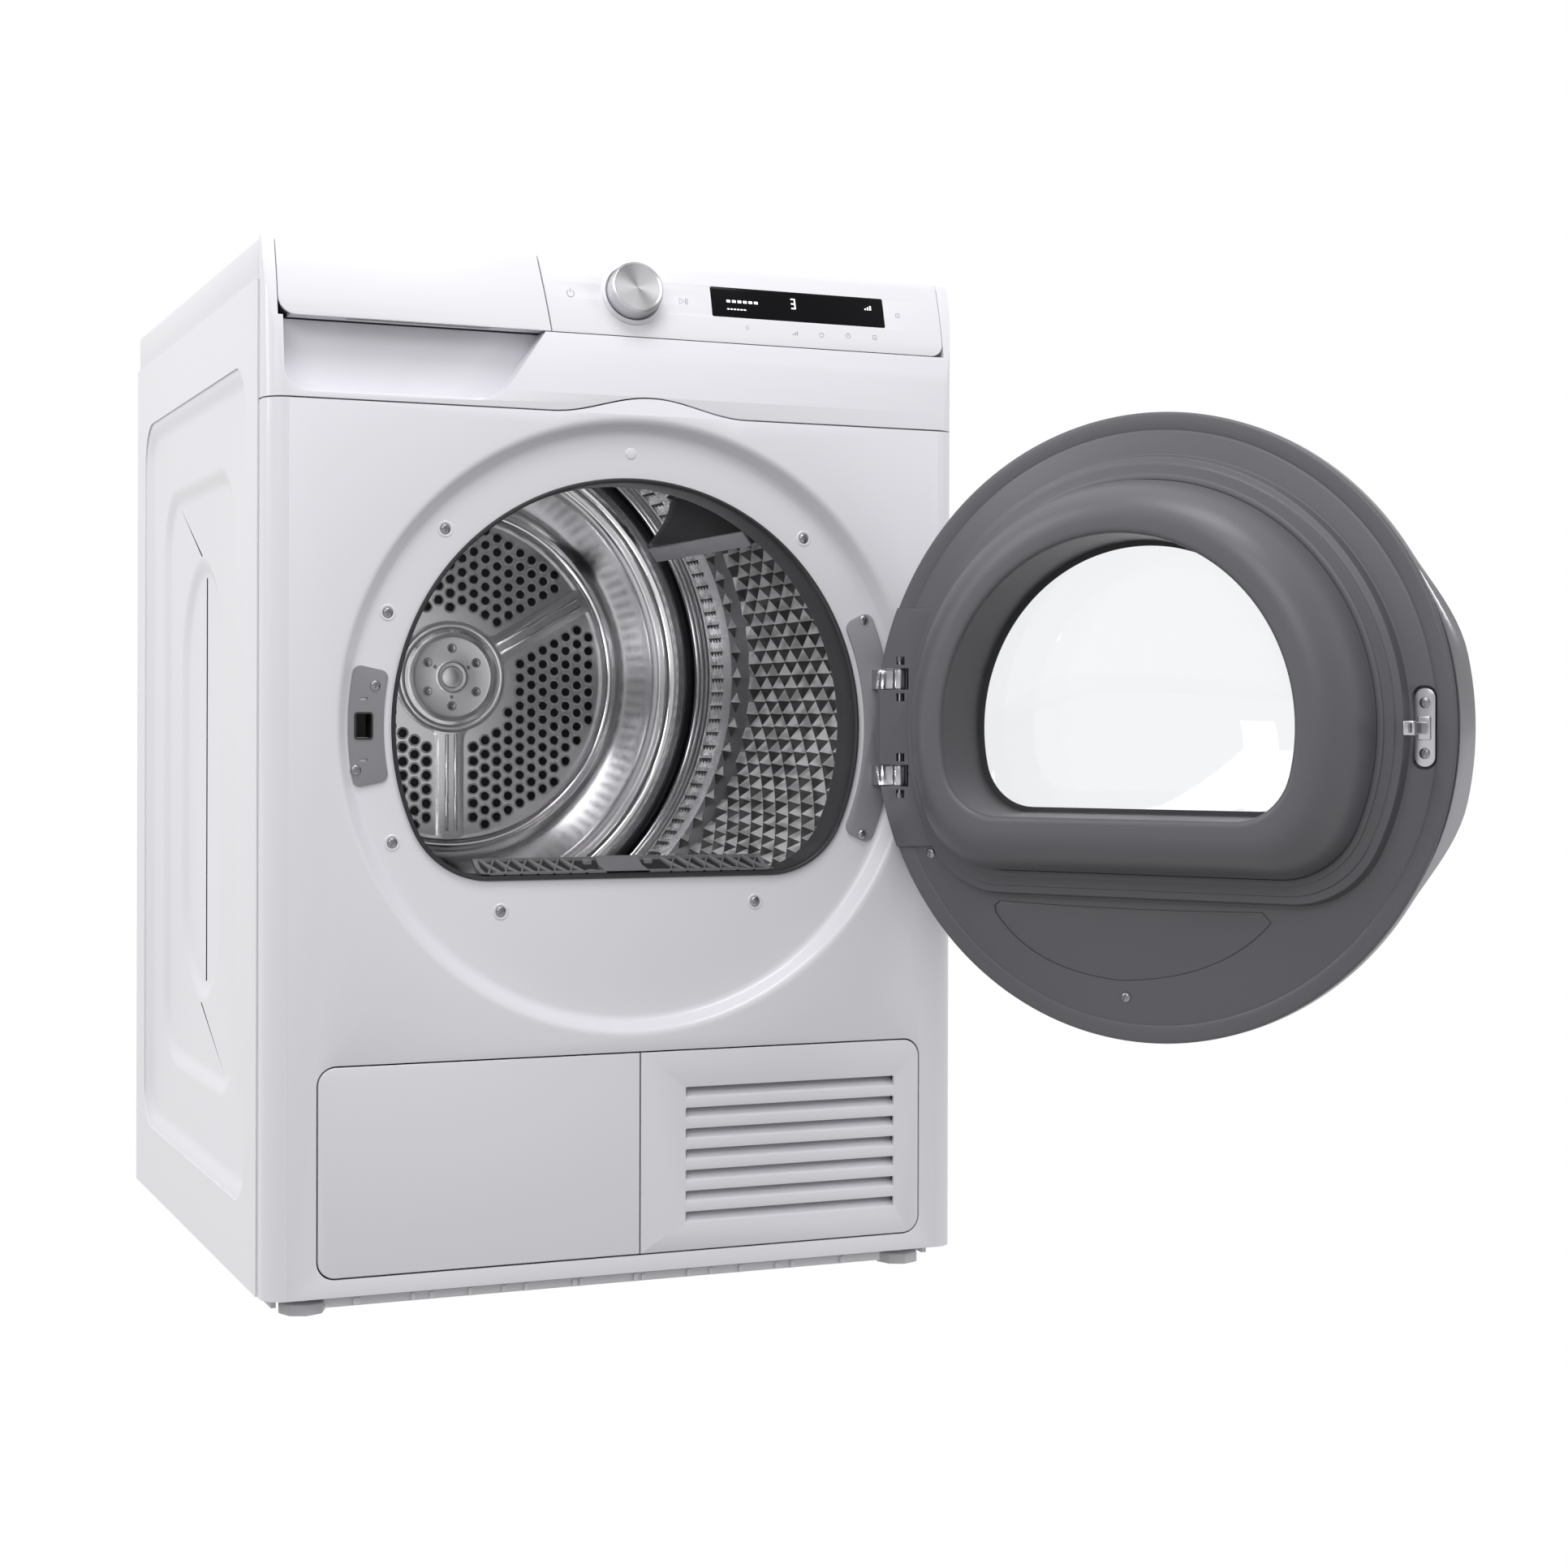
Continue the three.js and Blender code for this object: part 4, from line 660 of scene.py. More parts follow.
brightSteel = grained("brightSteel", (0.5, 0.5, 0.53), 0.26, 0.05, 700, 0.1, 0.05, Metallic=1.0)
boardGreen = grained("boardGreen", (0.015, 0.13, 0.05), 0.4, 0.1, 500, 0.1, 0.2)
displayBlack = grained(
    "displayBlack", (0.003, 0.003, 0.004), 0.18, 0.01, 900, 0.03, 0.02, Specular_IOR_Level=0.12
)
# paintedHoleShade: near-black put inside slots, behind holes and under grilles, painted shade
paintedHoleShade = grained("paintedHoleShade", (0.006, 0.006, 0.007), 0.6, 0.1, 900, 0.05, 0.05)
litDigits = grained(
    "litDigits",
    (0.9, 0.9, 0.92),
    0.4,
    0.01,
    900,
    0.02,
    0.01,
    Emission_Color=(1, 1, 1, 1),
    Emission_Strength=0.9,
)
drumCentre = (drumX * milli, 0, drumZ * milli)
drumSteel = brushed("drumSteel", (0.74, 0.735, 0.755), 0.14, 0.1, 500, 0.05, drumCentre)
pressedSteel = brushed("pressedSteel", (0.66, 0.655, 0.675), 0.22, 0.1, 700, 0.06, drumCentre)
# facetSteel: steel with painted shade on facets by the way they face, and painted glints in patches
facets = {
    "Colour": (0.97, 0.965, 0.98, 1),
    "Roughness": 0.16,
    "Dark facets": 0.1,
    "Patch size": 60.0,
    "Centre": drumCentre,
}
facetSteel = newMaterial("facetSteel", facetShadeAndGlints, facets, Metallic=0.5)
# paintedShadeSteel: a darker copy of the drum steel, painted shade for the dark reflections on the drum's
# plain strip and back corner
paintedShadeSteel = brushed("paintedShadeSteel", (0.2, 0.198, 0.21), 0.2, 0.1, 500, 0.05, drumCentre)
satinSteel = brushed("satinSteel", (0.6, 0.595, 0.615), 0.38, 0.1, 700, 0.05, drumCentre)
screwSteel = grained("screwSteel", (0.26, 0.26, 0.28), 0.3, 0.05, 700, 0.1, 0.05, Metallic=1.0)
knobHinge = Vector(jointNamed("knob_turn")["pos_m"])
knobAxis = jointNamed("knob_turn")["axis"]
# spunMetal: painted light and dark wedges stand in for the reflections on the knob's turned face
wedges = {"Colour": (0.62, 0.62, 0.64, 1), "Roughness": 0.3, "Centre": tuple(knobHinge), "Contrast": 0.24}
wedges["Tilt"] = (atan2(knobAxis[2], -knobAxis[1]), 0, 0)
spunMetal = newMaterial("spunMetal", wedgeSheen, wedges, Metallic=0.85)
doorMetal = grained(
    "doorMetal", (0.32, 0.32, 0.34), 0.18, 0.03, 900, 0.1, 0.04, Metallic=0.9, Coat_Weight=0.4
)


def glassMaterial(name, colour, rough):
    material = grained(name, colour, rough, 0.005, 300, 0.02, 0.01, Transmission_Weight=1.0, IOR=1.45)
    return material


windowGlass = glassMaterial("windowGlass", (0.97, 0.975, 0.985), 0.02)
print("stage: materials")

stageSettings = {
    "cameraPlace": (-0.713, -2.257, 0.462),
    "yaw": -22.7,
    "roll": -0.135,
    "lens": 58.27,
    "shift": (0.0224, -0.0341),
    "floorSize": 80,
}


def makeStage():
    settle()
    bpy.ops.mesh.primitive_plane_add(size=stageSettings["floorSize"], location=(0, 0, 0))
    floor = bpy.context.object
    floor.name = "studioFloor"
    floor.data.materials.append(
        grained(
            "floorWhite",
            (0, 0, 0),
            1.0,
            0,
            60,
            0,
            0,
            Specular_IOR_Level=0.0,
            Emission_Color=(1, 1, 1, 1),
            Emission_Strength=1.0,
        ),
    )
    floor.visible_diffuse = False
    floor.visible_shadow = False
    bpy.ops.object.camera_add(location=stageSettings["cameraPlace"])
    camera = bpy.context.object
    camera.rotation_euler = (radians(90), radians(stageSettings["roll"]), radians(stageSettings["yaw"]))
    camera.data.lens = stageSettings["lens"]
    camera.data.sensor_width = 36
    camera.data.shift_x, camera.data.shift_y = stageSettings["shift"]
    bpy.context.scene.camera = camera


def areaLight(name, place, target, size, power, colour=(1, 1, 1)):
    bpy.ops.object.light_add(type="AREA", location=place)
    lamp = bpy.context.object
    lamp.name = name
    lamp.data.shape = "RECTANGLE"
    lamp.data.size, lamp.data.size_y = size
    lamp.data.energy = power
    lamp.data.color = colour
    lamp.rotation_euler = (Vector(target) - Vector(place)).to_track_quat("-Z", "Y").to_euler()


def makeLight():
    areaLight("keyLight", (-2.2, -3.0, 2.5), (0, 0, 0.5), (2.0, 1.4), 38)
    areaLight("fillLight", (2.6, -2.4, 1.5), (0.1, 0, 0.5), (0.8, 2.2), 18)
    bpy.context.object.visible_glossy = False
    areaLight("drumLight", (-0.1, -0.9, 1.9), (0.1, 0.1, 0.5), (0.9, 0.5), 10)
    for i, angle in enumerate((105, 150, 195, 240)):
        place = (0.225 * cos(radians(angle)), -0.19, drumZ * milli + 0.225 * sin(radians(angle)))
        areaLight("insideSpot" + str(i), place, (0.1 * i - 0.1, 0.05, 0.47), (0.045, 0.045), 0.2)
        bpy.context.object.visible_camera = False
    areaLight("sideTop", (-1.7, 0.0, 1.5), (-0.3, 0.0, 0.55), (0.5, 1.4), 12)
    world = bpy.data.worlds.new("studio")
    bpy.context.scene.world = world
    world.use_nodes = True
    tree = world.node_tree
    tree.nodes.clear()
    place = linked(tree, "TexCoord").outputs["Generated"]
    parts = linked(tree, "SeparateXYZ", {"Vector": place})
    height = linked(
        tree,
        "MapRange",
        {"Value": parts.outputs["Z"], "From Min": -0.35, "From Max": -0.06, "To Min": 0.3, "To Max": 1.0},
    )
    front = linked(
        tree,
        "MapRange",
        {"Value": parts.outputs["Y"], "From Min": -0.8, "From Max": 0.1, "To Min": 0.62, "To Max": 1.0},
    )
    side = linked(
        tree,
        "MapRange",
        {"Value": parts.outputs["X"], "From Min": -0.95, "From Max": -0.35, "To Min": 0.62, "To Max": 1.0},
    )
    twice = linked(tree, "Math", {0: height.outputs[0], 1: front.outputs[0]}, operation="MULTIPLY")
    both = linked(tree, "Math", {0: twice.outputs[0], 1: side.outputs[0]}, operation="MULTIPLY")
    soft = linked(tree, "Background", {"Color": (1, 1, 1, 1), "Strength": both.outputs[0]})
    out = tree.nodes.new("ShaderNodeOutputWorld")
    tree.links.new(soft.outputs[0], out.inputs["Surface"])
    bpy.context.scene.view_settings.view_transform = "Standard"


makeStage()
makeLight()
print("stage: camera and light")

screwSettings = {"radius": 4.2, "height": 1.9, "cross": 1.0, "crossReach": 2.6}


def screwTemplate():  # a round-headed cross screw that faces -Y, its seat at y = 0
    s = screwSettings
    crown = bend((0, -s["height"]), (s["radius"] * 0.75, -s["height"]), (s["radius"], -0.3), 5)
    head = turn("screw", crown + [(s["radius"], 0.3), (0, 0.3)], 0, 0, 20)
    reach, half = s["crossReach"], s["cross"] / 2
    carve(
        head,
        block("slotA", (-reach, -s["height"] - 1, -half), (reach, -s["height"] * 0.35, half)),
        block("slotB", (-half, -s["height"] - 1, -reach), (half, -s["height"] * 0.35, reach)),
    )
    return head


def screwsAt(name, places, body, flip=False, isOpen=False):
    matrices = []
    for x, y, z, spin in places:
        turnIt = Matrix.Rotation(radians(spin), 4, "Y")
        if flip:
            turnIt = turnIt @ Matrix.Rotation(pi, 4, "Z")
        matrices.append(Matrix.Translation((x, y, z)) @ turnIt)
    group = scattered(name, screwTemplate(), matrices)
    return placePiece(group, body, screwSteel, isOpen=isOpen)


def recessTool(grow):  # the round recess with a soft lip and a soft corner at its floor
    face, soft = cabinet["faceY"], 4.5
    wide, floor = opening["recessRadius"] + grow, floorY + grow
    narrow = wide - opening["recessSlope"]
    run = hypot(opening["recessSlope"], opening["recessDepth"])
    dx, dy = opening["recessSlope"] / run, opening["recessDepth"] / run
    lip = bend((wide + soft, face), (wide, face), (wide - dx * soft, face + dy * soft), 5)
    foot = bend((narrow + dx * soft, floor - dy * soft), (narrow, floor), (narrow - soft, floor), 5)
    profile = [(0, face - 3), (wide + soft + 2, face - 3)] + lip + foot + [(0, floor)]
    return turn("recessTool", profile, opening["x"], opening["z"], 144)


servicePlace = {"left": -258, "right": 264, "bottom": 32, "top": 197, "corner": 14, "split": 10, "gap": 1.3}


def serviceOutline(grow):
    s = servicePlace
    return roundedRect(
        s["left"] - grow, s["right"] + grow, s["bottom"] - grow, s["top"] + grow, s["corner"] + grow, 8
    )


def makeLowerFront():
    face, low = cabinet["faceY"], frontLow.z
    high = cabinet["seamZ"] + cabinet["seamBump"] + 8
    panel = prism("lowerFront", frontPlan(0, low), (0, 0, high - low))
    above = seamLine(-cabinet["seamGap"] / 2)
    above += [(cabinet["halfWidth"] + 4, high + 9), (-cabinet["halfWidth"] - 4, high + 9)]
    seamTool = prism("seamTool", atDepth(above, face - 8), (0, 60, 0))
    hollow = prism("hollow", frontPlan(2.2, low + 2, 3), (0, 0, cabinet["seamZ"] - 6 - low))
    pan = recessTool(1.6)
    carve(hollow, pan)
    mouth = prism("mouthTool", atDepth(mouthOutline(0), floorY - 5), (0, 40, 0))
    service = prism("serviceTool", atDepth(serviceOutline(servicePlace["gap"]), face - 4), (0, 60, 0))
    socket = block("socketTool", (-229, floorY - 3, 452), (-211, floorY + 6, 478))
    carve(panel, seamTool, hollow, recessTool(0), mouth, service, socket)

    def onFace(edge):
        return all(abs(v.co.y - face) < tiny for v in edge.verts) and not all(
            hypot(
                v.co.x - opening["x"], v.co.z - opening["z"]
            ) < opening["recessRadius"] + 6 for v in edge.verts
        )

    def onMouth(edge):
        middle = (edge.verts[0].co + edge.verts[1].co) / 2
        near = hypot(middle.x - opening["x"], middle.z - opening["z"]) < opening["radius"] + 2
        return all(
            abs(v.co.y - floorY) < tiny for v in edge.verts
        ) and near and edge.calc_face_angle(0) > 0.8

    roundEdges(panel, onMouth, 1.2, 3)
    roundEdges(panel, onFace, 0.7, 2)
    placePiece(panel, "cabinet", whitePaint, ["lower_front_panel"])


gripShape = {
    "left": -286, "low": 726, "corner": 20, "rightLow": -112, "rightTop": -68, "top": 790, "depth": 25
}


def gripOutline():
    g = gripShape
    points = [(g["left"], g["top"])]
    points += arcPoints(g["left"] + g["corner"], g["low"] + g["corner"], g["corner"], pi, pi * 1.5, 8)
    points += bend(
        (g["rightLow"] - 22, g["low"]), (g["rightLow"], g["low"]), (g["rightLow"] + 12, g["low"] + 18), 8
    )
    points.append((g["rightTop"], g["top"]))
    return points


# a slab between two depths under the leaning face
def leaningBlock(name, x0, x1, z0, z1, near, far, steps=20):
    heights = [z0 + (z1 - z0) * i / steps for i in range(steps + 1)]
    face = cabinet["faceY"]
    points = [(x0, face + leanAt(z) + near, z) for z in heights]
    points += [(x0, face + leanAt(z) + far, z) for z in reversed(heights)]
    return prism(name, points, (x1 - x0, 0, 0))


def makeUpperFront():
    face, top = cabinet["faceY"], cabinet["top"]
    low = cabinet["seamZ"] - 2
    panel = prism("upperFront", frontPlan(0, low), (0, 0, top - low))
    carve(panel, leaningBlock("lean", -304, 304, low - 4, top + 4, -0.002, 60), how="INTERSECT")
    below = seamLine(cabinet["seamGap"] / 2)
    below += [(cabinet["halfWidth"] + 4, low - 9), (-cabinet["halfWidth"] - 4, low - 9)]
    seamTool = prism("seamTool", atDepth(below, face - 8), (0, 60, 0))
    hollow = leaningBlock("hollow", -286.5, 286.5, low + 12, top + 3, 3, 70)
    pan = prism("pan", atDepth(gripOutline(), face - 2), (0, gripShape["depth"] + 3.6, 0))
    modify(pan, "SOLIDIFY", thickness=1.6, offset=1)
    carve(hollow, pan)
    window = block(
        "window",
        (-290, face - 4, cadBox("control_panel")[0].z - 0.8),
        (290, cabinet["returnY"] + 4, top + 4),
    )
    grip = prism("grip", atDepth(gripOutline(), face - 4), (0, gripShape["depth"] + 4, 0))
    roundEdges(grip, lambda e: all(v.co.y > face for v in e.verts) and e.verts[0].co.z < 789, 9, 5)
    carve(panel, seamTool, hollow, window, grip)

    def onFace(edge):
        return all(
            abs(v.co.y - face - leanAt(v.co.z)) < 0.05 for v in edge.verts
        ) and edge.calc_face_angle(0) > 0.7

    roundEdges(panel, onFace, 0.9, 3)
    placePiece(panel, "cabinet", whitePaint, ["upper_front_panel"], smooth=28)


sidePress = {"step": 4.6, "ramp": 19, "marginY": 45, "spreadY": 70, "bottom": 62, "top": 60, "spreadZ": 70}
sideRounds = (40, 64, 103)


def makeSide(sign):
    s = sidePress
    x = sign * cabinet["halfWidth"]
    front, back = cabinet["returnY"] + 0.3, cabinet["backY"] - 1.9
    bottom, top = frontLow.z, cabinet["coverBottom"] - 0.3

    def ring(level, grow, depth):
        inY, inZ = s["spreadY"] * level, s["spreadZ"] * level
        y0 = front + s["marginY"] + inY + grow
        y1 = back - s["marginY"] - inY - grow
        z0 = bottom + s["bottom"] + inZ + grow
        z1 = top - s["top"] - inZ - grow
        points = roundedRect(y0, y1, z0, z1, sideRounds[level] - grow, 14)
        return [(x - sign * depth, y, z) for y, z in points]

    rings = []
    for level in range(3):
        for i in range(7):
            t = i / 6
            rings.append(ring(level, t * s["ramp"], s["step"] * (level + (1 - cos(pi * t)) / 2)))
    pressed = loft("pressed", rings, capEnd=True)
    sheet = trace("sideSheet", [(x, front, bottom), (x, back, bottom), (x, back, top), (x, front, top)])
    hole = prism("hole", [(x - 2, y, z) for _, y, z in rings[0]], (4, 0, 0))
    modify(sheet, "SOLIDIFY", thickness=1.4, offset=-1 if sign > 0 else 1)
    carve(sheet, hole)
    skin = modify(pressed, "SOLIDIFY", thickness=1.4, offset=-1)
    side = united("side" + ("Left" if sign < 0 else "Right"), [sheet, skin])
    placePiece(
        side,
        "cabinet",
        whitePaint,
        ["side_panel_" + ("left" if sign < 0 else "right")],
        smooth=40,
    )


def makeTopCover():
    half, top = cabinet["halfWidth"], cabinet["top"]
    front = coverLow.y
    outline = [(x, y, coverLow.z) for x, y in roundedRect(-half, half, front, coverHigh.y, 7, 8)]
    cover = prism("topCover", outline, (0, 0, top - coverLow.z))
    roundEdges(cover, lambda e: all(v.co.z > top - tiny for v in e.verts), 3.5, 5)
    roundEdges(cover, lambda e: all(v.co.z < coverLow.z + tiny for v in e.verts), 0.8, 2)
    inset = [
        (x, y, top - 3) for x, y in roundedRect(-half + 40, half - 40, front + 40, coverHigh.y - 40, 20, 8)
    ]
    hollow = block(
        "coverHollow", (-half + 3, front - 1, coverLow.z - 1), (half - 3, coverHigh.y - 5, coverLow.z + 16)
    )
    carve(cover, hollow)
    bead = prism("coverBead", [(x, y, top - 0.9) for x, y, _ in inset], (0, 0, 6))
    carve(cover, bead)
    placePiece(cover, "cabinet", whitePaint, ["top_cover"], smooth=35)


makeLowerFront()
makeUpperFront()
makeSide(-1)
makeSide(1)
makeTopCover()
print("stage: cabinet")

controlSettings = {"splitTop": -74, "splitBottom": -66, "gap": 1.1, "corner": 11, "thick": 3}
fasciaLow, fasciaHigh = cadBox("control_panel")
displayLow, displayHigh = cadBox("display_window")


def splitAt(z):
    share = (z - fasciaLow.z) / (cabinet["top"] - fasciaLow.z)
    return controlSettings["splitBottom"] + (
        controlSettings["splitTop"] - controlSettings["splitBottom"]
    ) * share


def fasciaOutline(isRight):
    c = controlSettings
    low, high = fasciaLow.z, cabinet["top"]
    if isRight:
        x1 = fasciaHigh.x
        points = [(splitAt(high) + c["gap"] / 2, high), (splitAt(low) + c["gap"] / 2, low)]
        points += arcPoints(x1 - c["corner"], low + c["corner"], c["corner"], pi * 1.5, pi * 2, 8)
        points += arcPoints(x1 - 5, high - 5, 5, 0, pi / 2, 5)
        return points
    x0 = -fasciaHigh.x
    points = arcPoints(x0 + 5, high - 5, 5, pi / 2, pi, 5)
    points += arcPoints(x0 + c["corner"] + 3, low + c["corner"] + 3, c["corner"] + 3, pi, pi * 1.5, 8)
    points += [(splitAt(low) - c["gap"] / 2, low), (splitAt(high) - c["gap"] / 2, high)]
    return points


def fasciaPlate(name, outline, thick, near=0.0):
    xs = [x for x, z in outline]
    zs = [z for x, z in outline]
    slab = leaningBlock(name, min(xs) - 4, max(xs) + 4, min(zs) - 4, max(zs) + 4, near, thick, 26)
    shape = prism("shape", atDepth(outline, cabinet["faceY"] - 9), (0, 70, 0))
    carve(slab, shape, how="INTERSECT")
    return slab


def onLean(edge, near=0.0, least=0.7):
    depth = cabinet["faceY"] + near
    return all(
        abs(v.co.y - depth - leanAt(v.co.z)) < 0.04 for v in edge.verts
    ) and edge.calc_face_angle(0) > least


def makeControlPanel():
    panel = fasciaPlate("controlPanel", fasciaOutline(True), controlSettings["thick"])
    glass = displayLow, displayHigh
    hole = roundedRect(glass[0].x - 0.3, glass[1].x + 0.3, glass[0].z - 0.3, glass[1].z + 0.3, 1.5, 3)
    carve(panel, prism("hole", atDepth(hole, cabinet["faceY"] - 9), (0, 70, 0)))
    shaft = turn("shaft", [(0, -20), (6, -20), (6, 20), (0, 20), (0, -20)], 0, 0, 24)
    shaft.data.transform(knobFrame)
    carve(panel, shaft)
    roundEdges(panel, onLean, 0.8, 3)
    placePiece(panel, "cabinet", fasciaWhite, ["control_panel"], smooth=28)
    outline = roundedRect(glass[0].x, glass[1].x, glass[0].z, glass[1].z, 1.2, 3)
    window = fasciaPlate("displayGlass", outline, controlSettings["thick"])
    roundEdges(window, onLean, 0.25, 2)
    placePiece(window, "cabinet", displayBlack, ["display_window"], smooth=28)


knobSettings = {"radius": 23, "height": 15, "collar": 26.5}
knobTilt = atan2(jointNamed("knob_turn")["axis"][2], -jointNamed("knob_turn")["axis"][1])
knobFrame = Matrix.Translation(knobHinge / milli) @ Matrix.Rotation(-knobTilt, 4, "X")


def makeKnob():
    k = knobSettings
    r, h = k["radius"], k["height"]
    profile = [(0, -h + 1.2), (r - 4, -h + 0.2)]
    profile += bend((r - 2.6, -h - 0.6), (r - 1.2, -h - 0.8), (r - 0.7, -h + 0.9), 4)
    profile += [(r, -2.2), (r, -0.7), (3.4, -0.7), (3.4, 11), (0, 11)]
    knob = turn("programKnob", profile, 0, 0, 120)
    knob.data.transform(knobFrame)
    placePiece(knob, "knob", spunMetal, ["program_knob"], smooth=24)
    c = k["collar"]
    section = [
        (r + 0.7, 0.6),
        (r + 0.7, -1.4),
        (r + 1.5, -2.1),
        (c - 0.6, -1.5),
        (c + 0.6, 0.15),
        (c + 0.6, 0.6),
        (r + 0.7, 0.6),
    ]
    collar = turn("knobCollar", section, 0, 0, 120)
    collar.data.transform(knobFrame)
    placePiece(collar, "cabinet", fasciaWhite)


tankShape = {"left": -281, "right": -79, "wall": 2.4, "slotLeft": -234, "slotRight": -116, "floorLift": 4.5}


def makeDrawerFront():
    t = tankShape
    front = fasciaPlate("tankFront", fasciaOutline(False), controlSettings["thick"])
    roundEdges(front, onLean, 0.8, 3)
    x0, x1 = -fasciaHigh.x + 10, splitAt(fasciaLow.z) - 3
    z = fasciaLow.z
    lip = block("lip", (x0, cabinet["faceY"] + 7.4, z + 0.2), (x1, cabinet["faceY"] + 24, z + 3.2))
    slot = prism(
        "slot",
        [
            (x, y, z - 1)
            for x, y in roundedRect(
                t["slotLeft"], t["slotRight"], cabinet["faceY"] + 9, cabinet["faceY"] + 19, 4, 4
            )
        ],
        (0, 0, 9),
    )
    carve(lip, slot)
    soften(lip, 0.5, 40, 2)
    placePiece(
        united("tankFront", [front, lip]), "tank", fasciaWhite, ["water_tank"], smooth=28
    )
    # a black block just behind the lip's slot, painted shade for the dark inside of the slot
    slotShade = block(
        "slotShadeBlock", (
            t["slotLeft"] - 6, cabinet["faceY"] + 8, z + 3.4
        ), (t["slotRight"] + 6, cabinet["faceY"] + 20, z + 5)
    )
    placePiece(soften(slotShade, 0.5, 40, 2), "tank", paintedHoleShade)
    tankHigh = cadBox("water_tank")[1]
    y0, y1 = cabinet["returnY"] + 2, tankHigh.y
    x0, x1, wall = t["left"], t["right"], t["wall"]
    body = block("tankBody", (x0, y0, z + t["floorLift"]), (x1, y1, cabinet["coverBottom"] + 12))
    soften(body, 5, 40, 4)
    inner = block(
        "tankInner", (x0 + wall, y0 + wall, z + 7), (x1 - wall, y1 - wall, cabinet["coverBottom"] + 9.6)
    )
    filler = prism(
        "filler",
        [(x, y, cabinet["coverBottom"]) for x, y in roundedRect(x0 + 60, x1 - 60, y1 - 70, y1 - 20, 6, 4)],
        (0, 0, 20),
    )
    carve(body, inner, filler)
    neck = block(
        "neck", (x0 + 20, cabinet["faceY"] + 19.5, z + 7), (x1 - 20, y0 + 1, cabinet["coverBottom"] - 8)
    )
    placePiece(united("tankBody", [body, soften(neck, 1, 40, 2)]), "tank", lightGrey)


def flatIcon(points, width=0.7):  # a thin closed line drawn as a raised band
    count = len(points)
    outer, inner = [], []
    for i in range(count):
        a, b, c = points[i - 1], points[i], points[(i + 1) % count]
        d1, d2 = Vector((b[0] - a[0], b[1] - a[1])), Vector((c[0] - b[0], c[1] - b[1]))
        normal = (Vector((d1.y, -d1.x)).normalized() + Vector((d2.y, -d2.x)).normalized()).normalized()
        outer.append((b[0] + normal.x * width / 2, b[1] + normal.y * width / 2))
        inner.append((b[0] - normal.x * width / 2, b[1] - normal.y * width / 2))
    y = -0.12
    rings = [atDepth(outer, 0.3), atDepth(outer, y), atDepth(inner, y), atDepth(inner, 0.3)]
    return loft("icon", rings, joinEnds=True)


def bar(x0, x1, z0, z1):
    return block("bar", (x0, -0.12, z0), (x1, 0.3, z1))


def powerIcon():
    arc = arcPoints(0, 0, 3.4, radians(125), radians(415), 22)
    back = arcPoints(0, 0, 2.8, radians(415), radians(125), 22)
    ring = prism("ring", atDepth(arc + back, -0.12), (0, 0.42, 0))
    return [ring, bar(-0.35, 0.35, 0.8, 4.4)]


def playIcon():
    return [
        flatIcon([(-3.6, -2.6), (-3.6, 2.6), (0.6, 0)], 0.55),
        bar(1.6, 2.2, -2.7, 2.7),
        bar(3.1, 3.7, -2.7, 2.7),
    ]


def dotIcon(kind):
    if kind == 0:
        return [flatIcon([(-1.7, 0), (0, 1.9), (1.7, 0), (0, -1.9)], 0.45)]
    if kind == 1:
        return [bar(-2.4 + i * 1.5, -1.6 + i * 1.5, -1.8, -1.0 + i * 0.9) for i in range(4)]
    if kind == 2:
        return [flatIcon(arcPoints(0, 0, 2.0, 0, 2 * pi * 15 / 16, 15), 0.45), bar(-0.2, 0.2, 0, 1.5)]
    if kind == 3:
        return [flatIcon(roundedRect(-1.8, 1.8, -1.8, 1.8, 0.8, 3), 0.45), bar(-0.9, 0.9, -0.2, 0.2)]
    return [flatIcon([(-2.0, -1.6), (2.0, -1.6), (0, 2.0)], 0.45)]


def placedOnLean(pieces, x, z, near=0.0):
    tilt = atan((z - cabinet["seamZ"]) / cabinet["leanRadius"])
    place = Matrix.Translation((x, cabinet["faceY"] + leanAt(z) + near, z)) @ Matrix.Rotation(-tilt, 4, "X")
    for piece in pieces:
        piece.data.transform(place)
    return pieces


iconPlaces = {
    "power": (-48, 819),
    "play": (51, 819),
    "small": [(107, 800, 0), (150, 798, 1), (175, 798, 2), (200, 799, 2), (225, 799, 3)],
    "side": (249, 820, 3),
}


def makeIcons():
    pieces = placedOnLean(powerIcon(), *iconPlaces["power"])
    pieces += placedOnLean(playIcon(), *iconPlaces["play"])
    for x, z, kind in iconPlaces["small"]:
        pieces += placedOnLean(dotIcon(kind), x, z)
    x, z, kind = iconPlaces["side"]
    pieces += placedOnLean(dotIcon(kind), x, z)
    placePiece(united("panelIcons", pieces), "cabinet", iconGrey)


def digit(segments, x, z, w, h, t):  # seven-segment figure from the letters of its lit bars
    m = h / 2
    bars = {
        "a": (x + t, x + w - t, z + h - t, z + h),
        "b": (x + w - t, x + w, z + m, z + h),
        "c": (x + w - t, x + w, z, z + m),
        "d": (x + t, x + w - t, z, z + t),
        "e": (x, x + t, z, z + m),
        "f": (x, x + t, z + m, z + h),
        "g": (x + t, x + w - t, z + m - t / 2, z + m + t / 2),
    }
    return [bar(*bars[s]) for s in segments]


